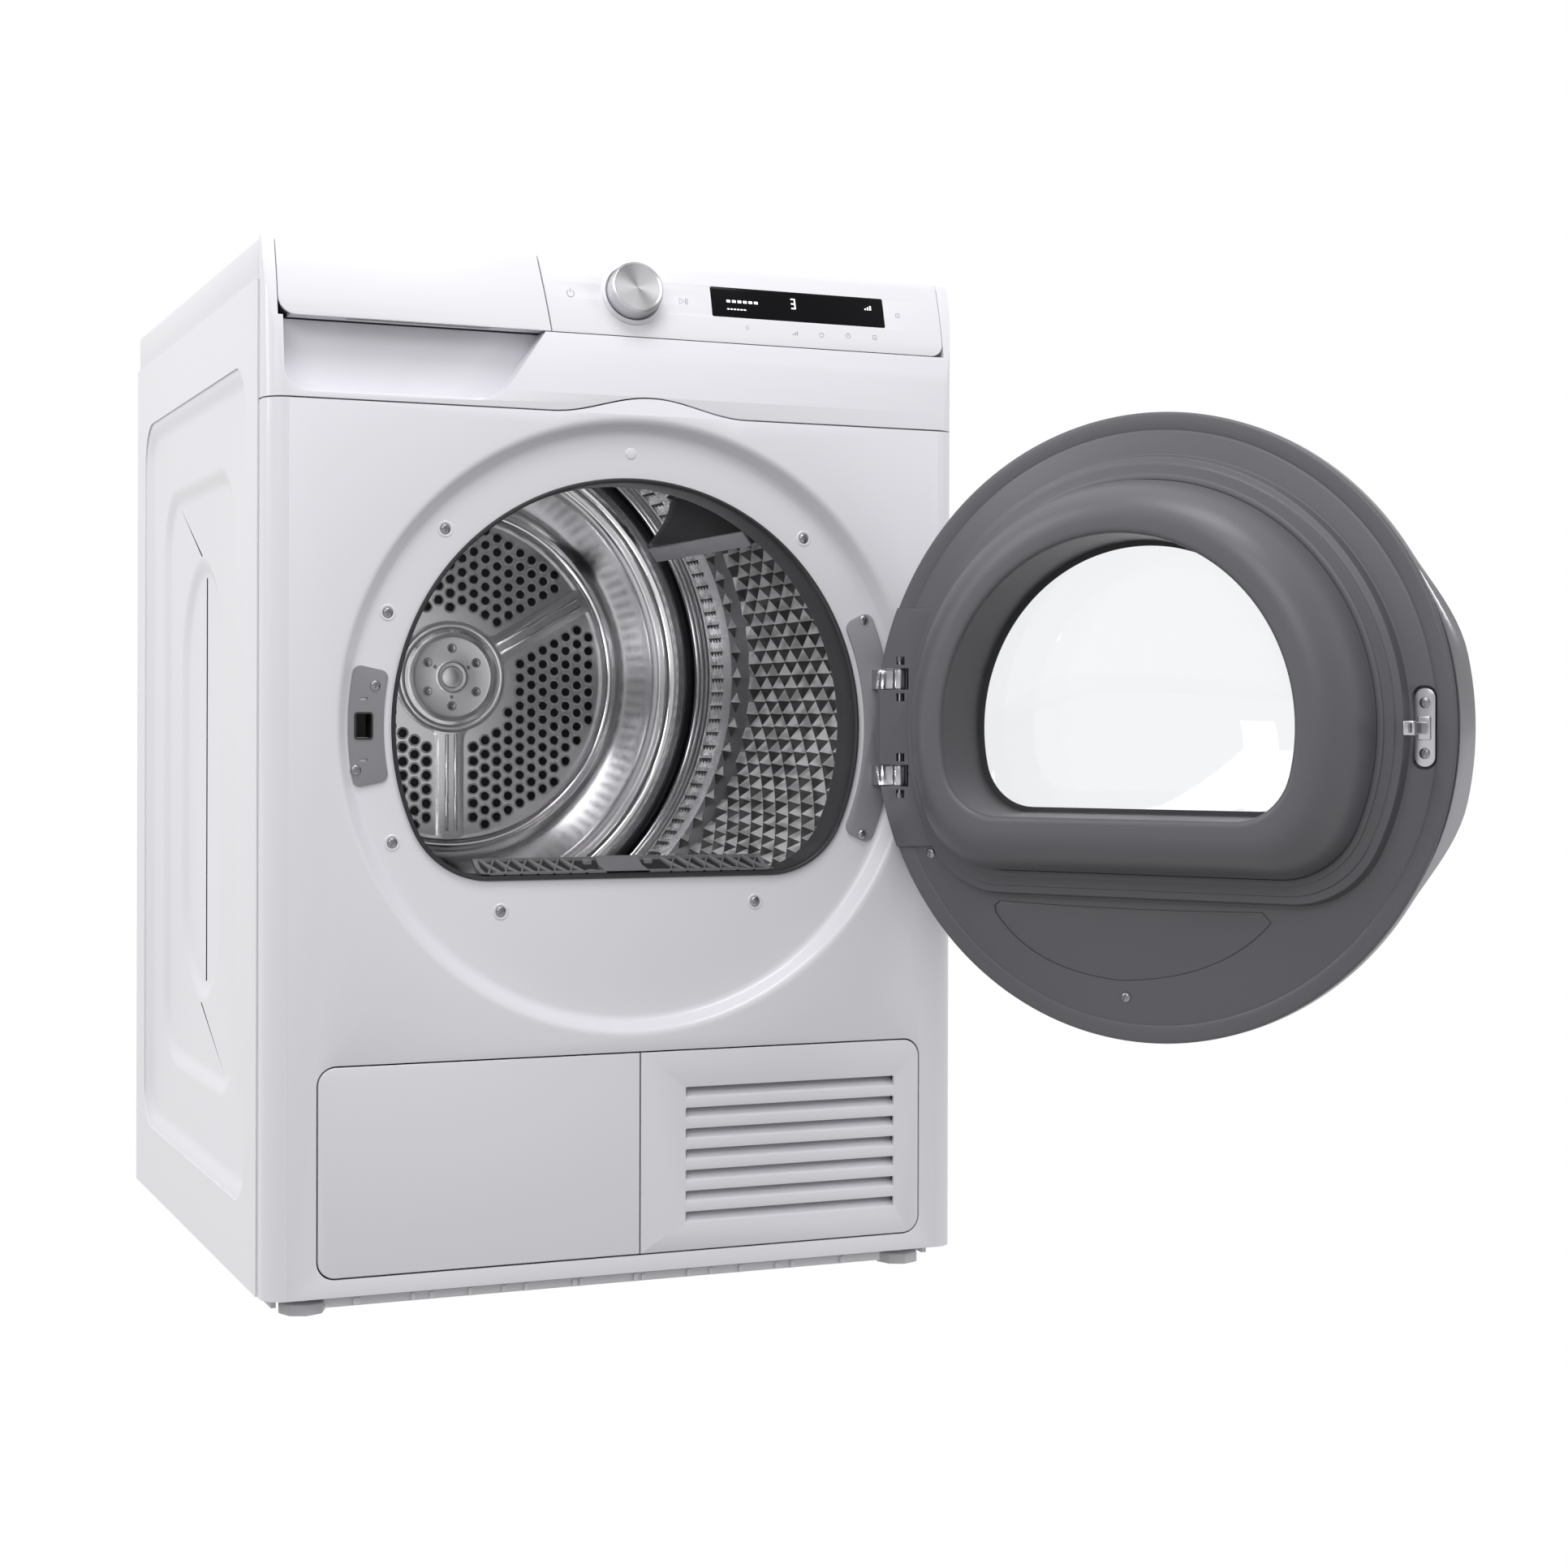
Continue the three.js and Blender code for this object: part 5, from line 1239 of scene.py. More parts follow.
def makeDisplay():
    lit = digit("abgcd", 148, 819, 5.2, 9.5, 1.1)
    for z, length, tall in ((821, 30, 2.2), (814.5, 18, 1.0)):
        lit += [
            bar(90 + i * (length / 6), 90 + i * (length / 6) + length / 9, z, z + tall) for i in range(6)
        ]
    for i in range(3):
        lit.append(bar(218 + i * 2.4, 219.4 + i * 2.4, 823, 824.4 + i * 1.3))
    middle = 821
    tilt = atan((middle - cabinet["seamZ"]) / cabinet["leanRadius"])
    whole = united("displayFigures", lit)
    whole.data.transform(Matrix.Translation((0, 0, -middle)))
    place = Matrix.Translation(
        (0, cabinet["faceY"] + leanAt(middle) - 0.04, middle)
    ) @ Matrix.Rotation(-tilt, 4, "X")
    whole.data.transform(place)
    placePiece(whole, "cabinet", litDigits)


makeControlPanel()
makeKnob()
makeDrawerFront()
makeIcons()
makeDisplay()
print("stage: controls")


grille = {"left": 50, "right": 241, "bottom": 55, "pitch": 17.2, "tall": 8.5, "count": 7}


def makeServicePanels():
    s, face = servicePlace, cabinet["faceY"]
    thick = 3.0
    for name, x0, x1, body, node in (
        ("serviceDoor", s["left"] - 5, s["split"] - 0.6, "service_door", "heat_pump_door"),
        ("coolingGrille", s["split"] + 0.6, s["right"] + 5, "cabinet", "cooling_grille"),
    ):
        plate = prism(name, atDepth(serviceOutline(0), face), (0, thick, 0))
        carve(plate, block("half", (x0, face - 4, 0), (x1, face + 9, 300)), how="INTERSECT")
        stands = [node]
        if node == "cooling_grille":
            for i in range(grille["count"]):
                z = grille["bottom"] + i * grille["pitch"]
                outline = roundedRect(grille["left"], grille["right"], z, z + grille["tall"], 1.2, 3)
                carve(plate, prism("louvre", atDepth(outline, face - 3), (0, 9, 0)))
        roundEdges(plate, lambda e: all(abs(v.co.y - face) < tiny for v in e.verts), 0.8, 3)
        placePiece(plate, body, whitePaint, stands)
    slats = []
    for i in range(grille["count"]):
        z = grille["bottom"] + i * grille["pitch"]
        outline = [
            (0, face + 0.6, z - 1.2),
            (0, face + 2.2, z - 1.6),
            (0, face + 15, z + grille["tall"] + 1.5),
            (0, face + 13.4, z + grille["tall"] + 2),
        ]
        slats.append(
            prism(
                "slat",
                [(grille["left"] - 1, y, zz) for _, y, zz in outline],
                (grille["right"] - grille["left"] + 2, 0, 0),
            )
        )
    placePiece(united("grilleSlats", slats), "cabinet", whitePaint)


footShape = {"reach": 262, "radius": 19, "tall": 9, "inset": 2.4, "stemRadius": 5, "stemLength": 30}
footNodes = {
    "fl": "foot_front_left", "fr": "foot_front_right", "rl": "foot_rear_left", "rr": "foot_rear_right"
}


def makeBase():
    face, f = cabinet["faceY"], footShape
    strip = [(-250, 15), (-246, 8), (228, 8), (232, 15)]
    skirt = prism("baseSkirt", atDepth(strip, face + 8.5), (0, 20, 0))
    ribs = [block("rib", (x, face + 6.5, 8.4), (x + 3, face + 9, 14.6)) for x in range(-228, 225, 47)]
    placePiece(
        united("baseSkirt", [soften(skirt, 0.6, 40, 2)] + ribs), "cabinet", basePlastic
    )
    for name, node in footNodes.items():
        x = f["reach"] if name[1] == "r" else -f["reach"]
        y = f["reach"] if name[0] == "r" else -f["reach"]
        settle()
        bpy.ops.mesh.primitive_cylinder_add(
            vertices=8, radius=f["radius"], depth=f["tall"], location=(x, y, f["tall"] / 2)
        )
        pad = bpy.context.object
        bpy.ops.object.transform_apply(location=True)
        choose(pad, "FACE", lambda side: side.normal.z < -0.9)
        bpy.ops.mesh.inset(thickness=f["inset"])
        bpy.ops.transform.resize(value=(0.94, 0.94, 1), center_override=(x, y, 0))
        settle()
        soften(pad, 1.3, 25, 3)
        bpy.ops.mesh.primitive_cylinder_add(
            vertices=24, radius=f["stemRadius"], depth=f["stemLength"], location=(
                x, y, f["tall"] - 1 + f["stemLength"] / 2
            )
        )
        stem = bpy.context.object
        bpy.ops.object.transform_apply(location=True)
        foot = united("foot" + name.capitalize(), [pad, stem])
        placePiece(foot, "foot_" + name, basePlastic, [node])


makeServicePanels()
makeBase()
print("stage: service panels and base")


def sweepMouth(name, section):  # a closed section of (grow, y) carried round the opening's outline
    return loft(name, [atDepth(mouthOutline(grow), y) for grow, y in section], joinEnds=True)


def makeTunnel():
    back = -244 - 6.2
    section = [
        (-0.3, floorY + 2),
        (-0.3, floorY - 1.6),
        (-1.1, floorY - 2.8),
        (-2.4, floorY - 2.6),
        (-3.4, floorY - 1.2),
    ]
    section += [(-3.9, floorY + 6), (-4.4, back - 4), (-3.4, back), (-0.3, back)]
    low, high = cadBox("lint_filter")
    ring = sweepMouth("tunnelRing", section)
    carve(ring, block("filterSlot", (low.x - 1, low.y - 1.5, 320), (high.x + 1, high.y + 1.5, 352)))
    placePiece(ring, "cabinet", tunnelBlack, ["front_bulkhead"], smooth=45)
    web = block("bulkheadWeb", (-264, back - 6, 214), (264, back, 776))
    carve(web, prism("webHole", atDepth(mouthOutline(-2), back - 12), (0, 24, 0)))
    low, high = cadBox("lint_filter")
    channel = block("filterChannel", (low.x - 5, floorY + 1.9, 172), (high.x + 5, back - 2, 338))
    carve(channel, block("channelHole", (low.x - 1, low.y - 1.5, 176), (high.x + 1, high.y + 1.5, 350)))
    carve(web, block("webChannel", (low.x - 1, low.y - 1.5, 176), (high.x + 1, high.y + 1.5, 350)))
    pins = []
    for joint in ("roller_left_turn", "roller_right_turn"):
        spot = Vector(jointNamed(joint)["pos_m"]) / milli
        pins.append(
            turn(
                "pin",
                [(0, back - 2), (5, back - 2), (5, -213.5), (4.5, -213), (0, -213)],
                spot.x,
                spot.z,
                24,
            ),
        )
    placePiece(united("bulkhead", [web, channel] + pins), "cabinet", blackPlastic)


catchPlate = {"inner": 211.5, "outer": 240, "reach": 0.235, "soft": 0.03}


def makeCatch():
    c, x, z = catchPlate, opening["x"], opening["z"]
    soft = c["soft"]
    outline = arcPoints(x, z, c["outer"], pi - c["reach"] + soft, pi + c["reach"] - soft, 16)
    outline += arcPoints(x, z, c["inner"], pi + c["reach"] - soft, pi - c["reach"] + soft, 14)
    plate = prism("catchPlate", atDepth(outline, floorY - 2.0), (0, 1.8, 0))
    roundEdges(
        plate, lambda e: abs(e.verts[0].co.y - e.verts[1].co.y) > 1 and e.calc_face_angle(0) > 0.7, 7.5, 6
    )
    roundEdges(plate, lambda e: all(v.co.y < floorY - 1.9 for v in e.verts), 0.5, 2)
    socket = roundedRect(-226, -213.6, 455.5, 474.5, 1.2, 3)
    carve(plate, prism("socket", atDepth(socket, floorY - 9), (0, 30, 0)))
    for cz in (486.5, 438):
        carve(
            plate,
            prism(
                "slit",
                atDepth(roundedRect(-223, -216.5, cz - 1.2, cz + 1.2, 0.5, 2), floorY - 9),
                (0, 30, 0),
            ),
        )
    placePiece(plate, "cabinet", latchGrey, ["door_catch"])
    frameRing = loft(
        "socketFrame",
        [
            atDepth(roundedRect(-226 - g, -213.6 + g, 455.5 - g, 474.5 + g, 1.2 + g, 3), y)
            for g, y in ((0, floorY - 0.4), (0, floorY - 2.8), (1.1, floorY - 2.8), (1.6, floorY - 1.8))
        ],
        joinEnds=True,
    )
    placePiece(frameRing, "cabinet", blackPlastic)
    back = floorY + 2
    case = block("catchBox", (-234, back, 443), (-208, back + 24, 487))
    carve(case, block("hollow", (-228, back - 3, 447), (-212, back + 20, 483)))
    placePiece(soften(case, 0.8, 40, 2), "cabinet", blackPlastic)
    screwsAt("catchScrews", [(-210.5, floorY - 1.9, 497, 20), (-226, floorY - 1.9, 430, 55)], "cabinet")


ringScrews = [(-153, 623), (-200, 555), (-196, 372), (-106, 315), (117, 318), (161, 625)]


def makeRingScrews():
    places = [(x, floorY - 0.1, z, 17 * i) for i, (x, z) in enumerate(ringScrews)]
    screwsAt("ringScrews", places, "cabinet")
    dimple = turn("dimple", [(4.5, -0.02), (6.8, -0.02), (6.2, -0.5), (5.2, -0.5), (4.5, -0.02)], 0, 0, 24)
    seats = scattered(
        "screwSeats", dimple, [Matrix.Translation((x, floorY - 0.02, z)) for x, z in ringScrews]
    )
    placePiece(seats, "cabinet", whitePaint)
    crown = bend((0, -1.2), (4, -1.2), (5.2, 0.1), 5)
    plug = turn("coverPlug", crown + [(0, 0.1)], 5, 690, 32)
    plug.data.transform(Matrix.Translation((0, floorY, 0)))
    placePiece(plug, "cabinet", whitePaint)


hingePlate = {"inner": 210, "outer": 236.5, "half": 103}


def makeHinge():
    h, x, z = hingePlate, opening["x"], opening["z"]
    reach = h["half"] / h["outer"]
    outline = arcPoints(x, z, h["outer"], -reach, reach, 20) + arcPoints(x, z, h["inner"], reach, -reach, 20)
    plate = prism("hingePlate", atDepth(outline, floorY - 2.1), (0, 1.9, 0))
    roundEdges(
        plate, lambda e: abs(e.verts[0].co.y - e.verts[1].co.y) > 1 and e.calc_face_angle(0) > 0.7, 8, 6
    )
    roundEdges(plate, lambda e: all(v.co.y < floorY - 2 for v in e.verts), 0.6, 2)
    axisX, axisY = doorHinge.x, doorHinge.y
    pieces = [plate]
    placePiece(united("hingePlate", pieces), "cabinet", lightGrey, ["hinge_bracket"])
    pinLow, pinHigh = cadBox("hinge_pin")
    arms = []
    for sign in (1, -1):
        middle = z + sign * 41
        ear = [(axisX + 6 * cos(a), axisY + 6 * sin(a)) for a in [radians(-200 + 20 * i) for i in range(11)]]
        ear += [
            (axisX - 3, axisY + 6),
            (axisX - 4, floorY - 1.8),
            (axisX - 16, floorY - 1.8),
            (axisX - 9, axisY + 6),
        ]
        lobe = soften(prism("arm", [(a, b, middle - 8.6) for a, b in ear], (0, 0, 17.2)), 0.8, 40, 3)
        bore = []
        for i in range(20):
            angle = 2 * pi * i / 20
            reach = (pinHigh.x - pinLow.x) / 2 + 0.15
            bore.append((axisX + reach * cos(angle), axisY + reach * sin(angle), middle - 12))
        arms.append(carve(lobe, prism("bore", bore, (0, 0, 24))))
    placePiece(united("hingeArms", arms), "cabinet", brightSteel)
    screwsAt("hingeScrews", [(217, floorY - 2, 557, 10), (216, floorY - 2, 373, 50)], "cabinet")


makeTunnel()
makeCatch()
makeRingScrews()
makeHinge()
print("stage: front ring")

drum = {
    "columns": 132,
    "rowPitch": 14.7,
    "rows": 20,
    "peakShare": 0.972,
    "radius": 264,
    "front": shellLow.y,
    "corner": shellHigh.y,
    "plate": 164,
    "hub": 41,
    "holePitch": 14.1,
    "hole": 4.2,
    "armHalf": 9,
}


def makeDrumWall():  # embossed front part, plain back part with three beads
    d = drum
    columns, pitch, rows = d["columns"], d["rowPitch"], d["rows"]
    startY = d["front"] + 14
    settle()
    bpy.ops.mesh.primitive_circle_add(
        vertices=columns, radius=d["radius"], location=(drumX, startY, drumZ), rotation=(pi / 2, 0, 0)
    )
    wall = bpy.context.object
    wall.name = "drumEmbossing"
    bpy.ops.object.transform_apply(location=True, rotation=True)
    edit(wall)
    for _ in range(rows):
        bpy.ops.mesh.extrude_edges_move(TRANSFORM_OT_translate={"value": (0, pitch, 0)})
    settle()

    def isPeak(vertex):
        angle = atan2(vertex.co.z - drumZ, vertex.co.x - drumX)
        column = round(angle / (2 * pi / columns))
        row = round((vertex.co.y - startY) / pitch)
        return 0 < row < rows and (column + row) % 2 == 0

    choose(wall, "VERT", isPeak)
    bpy.ops.transform.resize(value=(d["peakShare"], 1, d["peakShare"]), center_override=(drumX, 0, drumZ))
    bpy.ops.mesh.select_all(action="SELECT")
    bpy.ops.mesh.quads_convert_to_tris(quad_method="LONGEST_DIAGONAL", ngon_method="BEAUTY")
    bpy.ops.mesh.normals_make_consistent(inside=True)
    settle()
    modify(wall, "SOLIDIFY", thickness=0.8, offset=-1)
    placePiece(wall, "drum", facetSteel, smooth=8)
    endY = startY + rows * pitch
    r = d["radius"]
    beads = []
    small = endY + 33
    for i in range(3):
        y = endY + 112 + i * 12
        beads += [(r, y - 4.5), (r - 1.8, y - 2.6), (r - 3, y), (r - 1.8, y + 2.6), (r, y + 4.5)]
    inner = [(r, small + 15)] + beads + [(r, d["corner"] - 3)]
    lip = bend((r - 14, d["front"] + 0.4), (r - 1, d["front"] + 0.4), (r, d["front"] + 10), 6)
    front = turn(
        "drumFrontBand", [(r - 14, d["front"] + 1.6)] + lip + [(r, startY + 0.5)], drumX, drumZ, 192
    )
    back = turn("drumBackBand", inner, drumX, drumZ, 192)
    strip = turn("drumPlainStrip", [(r, endY - 0.5), (r, small), (r, small + 15.2)], drumX, drumZ, 192)
    for piece in (front, back, strip):
        edit(piece)
        bpy.ops.mesh.normals_make_consistent(inside=True)
        settle()
        modify(piece, "SOLIDIFY", thickness=0.9, offset=-1)
    # the plain strip gets the steel painted darker: painted shade
    placePiece(strip, "drum", paintedShadeSteel)
    outer = turn(
        "drumOutside",
        [
            (267.6, d["front"] + 8),
            (267.9, d["front"] + 20),
            (267.9, d["corner"] - 1),
            (266, d["corner"] - 0.4),
        ],
        drumX,
        drumZ,
        144,
    )
    modify(outer, "SOLIDIFY", thickness=0.6, offset=-1)
    placePiece(united("drumShell", [front, back, outer]), "drum", drumSteel, ["drum_shell"])
    return small


def pyramidRow(name, y, count, long, wide, tall):  # one row of four-sided points round the wall
    settle()
    bpy.ops.mesh.primitive_cone_add(
        vertices=4, radius1=1, radius2=0, depth=1, location=(0, 0, 0), rotation=(0, -pi / 2, 0)
    )
    pyramid = bpy.context.object
    bpy.ops.object.transform_apply(location=True, rotation=True)
    pyramid.scale = (tall, wide, long)
    bpy.ops.object.transform_apply(scale=True)
    matrices = []
    for i in range(count):
        place = Matrix.Translation((drumX, y, drumZ)) @ Matrix.Rotation(-2 * pi * i / count, 4, "Y")
        matrices.append(place @ Matrix.Translation((drum["radius"] - tall / 2 + 0.2, 0, 0)))
    return scattered(name, pyramid, matrices)


def makeSmallDiamonds(y):  # a bold row on the strip painted darker as shade, then a narrow textured band
    rows = [pyramidRow("boldRow", y, 66, 11, 10.5, 6)]
    for i in range(4):
        rows.append(pyramidRow("fineRow", y + 40 + i * 8, 120, 6, 4.4, 2.6))
    placePiece(united("drumDiamonds", rows), "drum", facetSteel, smooth=8)


def makeDrumBack():
    y = drum["corner"] + 1.2
    plate, r = drum["plate"], drum["radius"]
    profile = [(plate - 1, y)]
    profile += bend((plate, y - 4), (plate + 3, y - 8.5), (plate + 7, y - 6.5), 5)
    profile += bend((plate + 8, y - 5.5), (plate + 9.5, y - 2.5), (plate + 12, y - 3), 4)[1:]
    profile += bend((plate + 20, y - 2.4), (plate + 40, y + 2), (plate + 57, y + 6), 8)
    profile += bend((plate + 60, y + 8), (plate + 63, y + 11), (plate + 66, y + 9), 4)[1:]
    profile += bend((plate + 68, y + 4), (plate + 72, y - 4.5), (plate + 81, y - 3.5), 7)[1:]
    valley = bend((plate + 88, y - 2), (plate + 90, y + 7), (plate + 93, y + 10), 7)
    rim = profile[-1:] + valley + bend((r - 4, y + 9), (r, y + 7), (r, y - 4), 6)[1:]
    dish = turn("drumDish", profile, drumX, drumZ, 192)
    modify(dish, "SOLIDIFY", thickness=0.9, offset=0)
    corner = modify(turn("drumCorner", rim, drumX, drumZ, 192), "SOLIDIFY", thickness=0.9, offset=0)
    # the back corner gets the steel painted darker: painted shade
    placePiece(corner, "drum", paintedShadeSteel, smooth=40)
    placePiece(dish, "drum", drumSteel, ["drum_rear_wall"], smooth=40)


# distance from a point to the nearest arm's centre line, counted outwards from the hub
def starDistance(x, z):
    best = 1e9
    for k in range(3):
        a = radians(30 + 120 * k)
        along = x * cos(a) + z * sin(a)
        across = abs(-x * sin(a) + z * cos(a))
        best = min(best, across if along > 0 else 1e9)
    return best


def fieldOutline(sector, grow):  # a perforated field between two arms
    d = drum
    middle = radians(90 + 120 * sector)
    inner, outer, side = d["hub"] + 15 - grow, d["plate"] - 4 + grow, d["armHalf"] + 4 - grow
    half = radians(60)

    def edge(radius, sign):
        return middle + sign * (half - asinSafe(side / radius))

    points = arcPoints(0, 0, outer, edge(outer, -1), edge(outer, 1), 36)
    start = inner + 12
    left = (start * cos(edge(start, 1)), start * sin(edge(start, 1)))
    right = (start * cos(edge(start, -1)), start * sin(edge(start, -1)))
    a, b = edge(inner, 1) - 0.16, edge(inner, -1) + 0.16
    hubArc = arcPoints(0, 0, inner, a, b, 14)
    points += bend(left, (inner * cos(edge(inner, 1)), inner * sin(edge(inner, 1))), hubArc[0], 6)
    points += hubArc[1:-1]
    points += bend(hubArc[-1], (inner * cos(edge(inner, -1)), inner * sin(edge(inner, -1))), right, 6)
    return [(x + drumX, z + drumZ) for x, z in points]


def asinSafe(value):
    return pi / 2 - acos(max(-1.0, min(1.0, value)))


def makePerforatedPlate():
    d = drum
    y = d["corner"] + 1.2
    plate = turn(
        "perforatedPlate",
        [(0, y), (d["plate"] + 1, y), (d["plate"] + 1, y + 1), (0, y + 1)],
        drumX,
        drumZ,
        144,
    )
    pitch, rise = d["holePitch"], d["holePitch"] * sqrt(3) / 2
    spots = []
    for row in range(-18, 19):
        for column in range(-18, 19):
            x, z = row * rise, (column + (row % 2) / 2) * pitch
            radius = hypot(x, z)
            if d["hub"] + 24 < radius < d["plate"] - 11 and starDistance(x, z) > d["armHalf"] + 12.5:
                spots.append((x, z))
    bores = turn("bore", [(0, -2), (d["hole"], -2), (d["hole"], 3), (0, 3), (0, -2)], 0, 0, 14)
    tool = scattered("bores", bores, [Matrix.Translation((drumX + x, y, drumZ + z)) for x, z in spots])
    carve(plate, tool)
    rimProfile = [
        (d["hole"] - 0.05, 0.7),
        (d["hole"] + 0.1, -1.2),
        (d["hole"] + 0.9, -1.8),
        (d["hole"] + 1.7, -1.1),
        (d["hole"] + 2.2, 0.1),
    ]
    rim = turn("rim", rimProfile, 0, 0, 14)
    rims = scattered("plateRims", rim, [Matrix.Translation((drumX + x, y, drumZ + z)) for x, z in spots])
    placePiece(rims, "drum", pressedSteel, smooth=50)
    rise = 5
    arms = turn(
        "armSheet",
        [(0, y - rise), (d["plate"] - 1, y - rise), (d["plate"] - 1, y - 0.2), (0, y - 0.2)],
        drumX,
        drumZ,
        144,
    )
    for sector in range(3):
        carve(arms, prism("field", atDepth(fieldOutline(sector, 0), y - 9), (0, 18, 0)))

    def isTop(edge):
        middle = (edge.verts[0].co + edge.verts[1].co) / 2
        inside = hypot(middle.x - drumX, middle.z - drumZ) < d["plate"] - 2
        return all(
            abs(v.co.y - (y - rise)) < tiny for v in edge.verts
        ) and inside and edge.calc_face_angle(0) > 0.7

    roundEdges(arms, isTop, 3.6, 5)
    placePiece(united("perforatedPlate", [plate, arms]), "drum", pressedSteel, smooth=50)
    ribs = []
    for k in range(3):
        for side in (-1, 1):
            section = [
                (d["hub"] + 16, -1.7), (d["plate"] - 9, -1.7), (d["plate"] - 9, 1.7), (d["hub"] + 16, 1.7)
            ]
            outline = [(a, y - rise + 0.1, b + side * 4.6) for a, b in section]
            rib = prism("rib", outline, (0, -1.8, 0))
            soften(rib, 1.1, 40, 3)
            rib.data.transform(
                Matrix.Translation((drumX, 0, drumZ)) @ Matrix.Rotation(-radians(30 + 120 * k), 4, "Y")
            )
            ribs.append(rib)
    placePiece(united("armRibs", ribs), "drum", drumSteel)
    # a black ring behind the perforated plate, painted shade seen through its holes
    shadeSheet = turn("holeShadeSheet", [(d["hub"] + 8, y + 9), (d["plate"] - 3, y + 9)], drumX, drumZ, 96)
    modify(shadeSheet, "SOLIDIFY", thickness=1, offset=0)
    placePiece(shadeSheet, "drum", paintedHoleShade)


def makeHub():
    d, y = drum, drum["corner"] - 3.4
    profile = [
        (0, y - 1.2),
        (6.5, y - 1.2),
        (8, y - 0.6),
        (10, y - 0.6),
        (11.5, y - 3.4),
        (14, y - 3.6),
        (15.5, y - 2.4),
    ]
    profile += [
        (17, y - 2.2),
        (d["hub"] - 3, y - 2.2),
        (d["hub"] - 1, y - 2.8),
        (d["hub"] + 1, y - 1.6),
        (d["hub"] + 4, y + 0.2),
    ]
    profile += bend(
        (d["hub"] + 7, y + 0.2), (d["hub"] + 9, y - 4.6), (d["hub"] + 13, y - 2.6), 5
    ) + [(d["hub"] + 15, y + 0.6)]
    hub = turn("drumHub", profile, drumX, drumZ, 120)
    modify(hub, "SOLIDIFY", thickness=0.8, offset=0)
    placePiece(hub, "drum", satinSteel, smooth=40)
    rivet = turn("rivet", [(0, -1.6), (1.4, -1.6), (1.6, -0.9), (2.8, -1.7), (4.3, -1.6), (5, 0)], 0, 0, 20)
    spots = []
    for i in range(6):
        a = radians(30 + 60 * i)
        spots.append(Matrix.Translation((drumX + 29 * cos(a), y - 2.2, drumZ + 29 * sin(a))))
    rivets = scattered("hubRivets", rivet, spots)
    small = turn("small", [(0, -0.6), (1.2, -0.9), (2.2, 0)], 0, 0, 16)
    dots = [
        Matrix.Translation(
            (drumX + 20 * cos(radians(30 + 120 * k)), y - 2.2, drumZ + 20 * sin(radians(30 + 120 * k)))
        )
        for k in range(3)
    ]
    placePiece(
        united("hubRivets", [rivets, scattered("dots", small, dots)]),
        "drum",
        screwSteel,
        smooth=40,
    )


lifterSettings = {"height": 58, "half": 33, "crest": 6.5, "from": 22, "to": 84, "first": 54.5}


def makeLifters():
    s, d = lifterSettings, drum
    base = d["radius"] + 1
    rings = []
    stations = [(0, 0.18), (0.03, 0.5), (0.08, 0.82), (0.16, 1.0), (0.86, 1.0), (0.95, 0.8), (1.0, 0.35)]
    y0, y1 = d["front"] + s["from"], d["corner"] - s["to"]
    for share, size in stations:
        y = y0 + (y1 - y0) * share
        top = s["height"] * size
        wide = s["half"] * (0.55 + 0.45 * size)
        half = bend((wide, 0), (wide * 0.45, top * 0.35), (s["crest"] + 1.5, top - 5), 8)
        half += bend((s["crest"] + 1, top - 3), (s["crest"] + 0.5, top), (s["crest"] - 2, top), 4)
        points = half + [(-a, b) for a, b in reversed(half)]
        rings.append([(a, y, -(base - b)) for a, b in points])
    for i in range(3):
        angle = radians(s["first"]) + i * 2 * pi / 3
        place = Matrix.Translation((drumX, 0, drumZ)) @ Matrix.Rotation(angle + pi, 4, "Y")
        lifter = loft("lifter" + str(i + 1), rings, capStart=True, capEnd=True)
        lifter.data.transform(place)
        placePiece(lifter, "drum", darkPlastic, ["drum_lifter_" + str(i + 1)], smooth=40)
        strips = []
        length = (y1 - y0) * 0.68 / 3
        for k in range(3):
            start = y0 + (y1 - y0) * 0.17 + k * length
            strip = block(
                "strip",
                (-s["crest"] - 1.2, start + 0.6, -(base - s["height"]) + 0.2),
                (s["crest"] + 1.2, start + length - 0.6, -(base - s["height"]) + 4),
            )
            strips.append(soften(strip, 1.4, 40, 3))
        crest = united("lifterCrest" + str(i + 1), strips)
        crest.data.transform(place)
        placePiece(crest, "drum", lightGrey)


smallRowY = makeDrumWall()
makeSmallDiamonds(smallRowY)
makeDrumBack()
makePerforatedPlate()
makeHub()
makeLifters()
print("stage: drum")


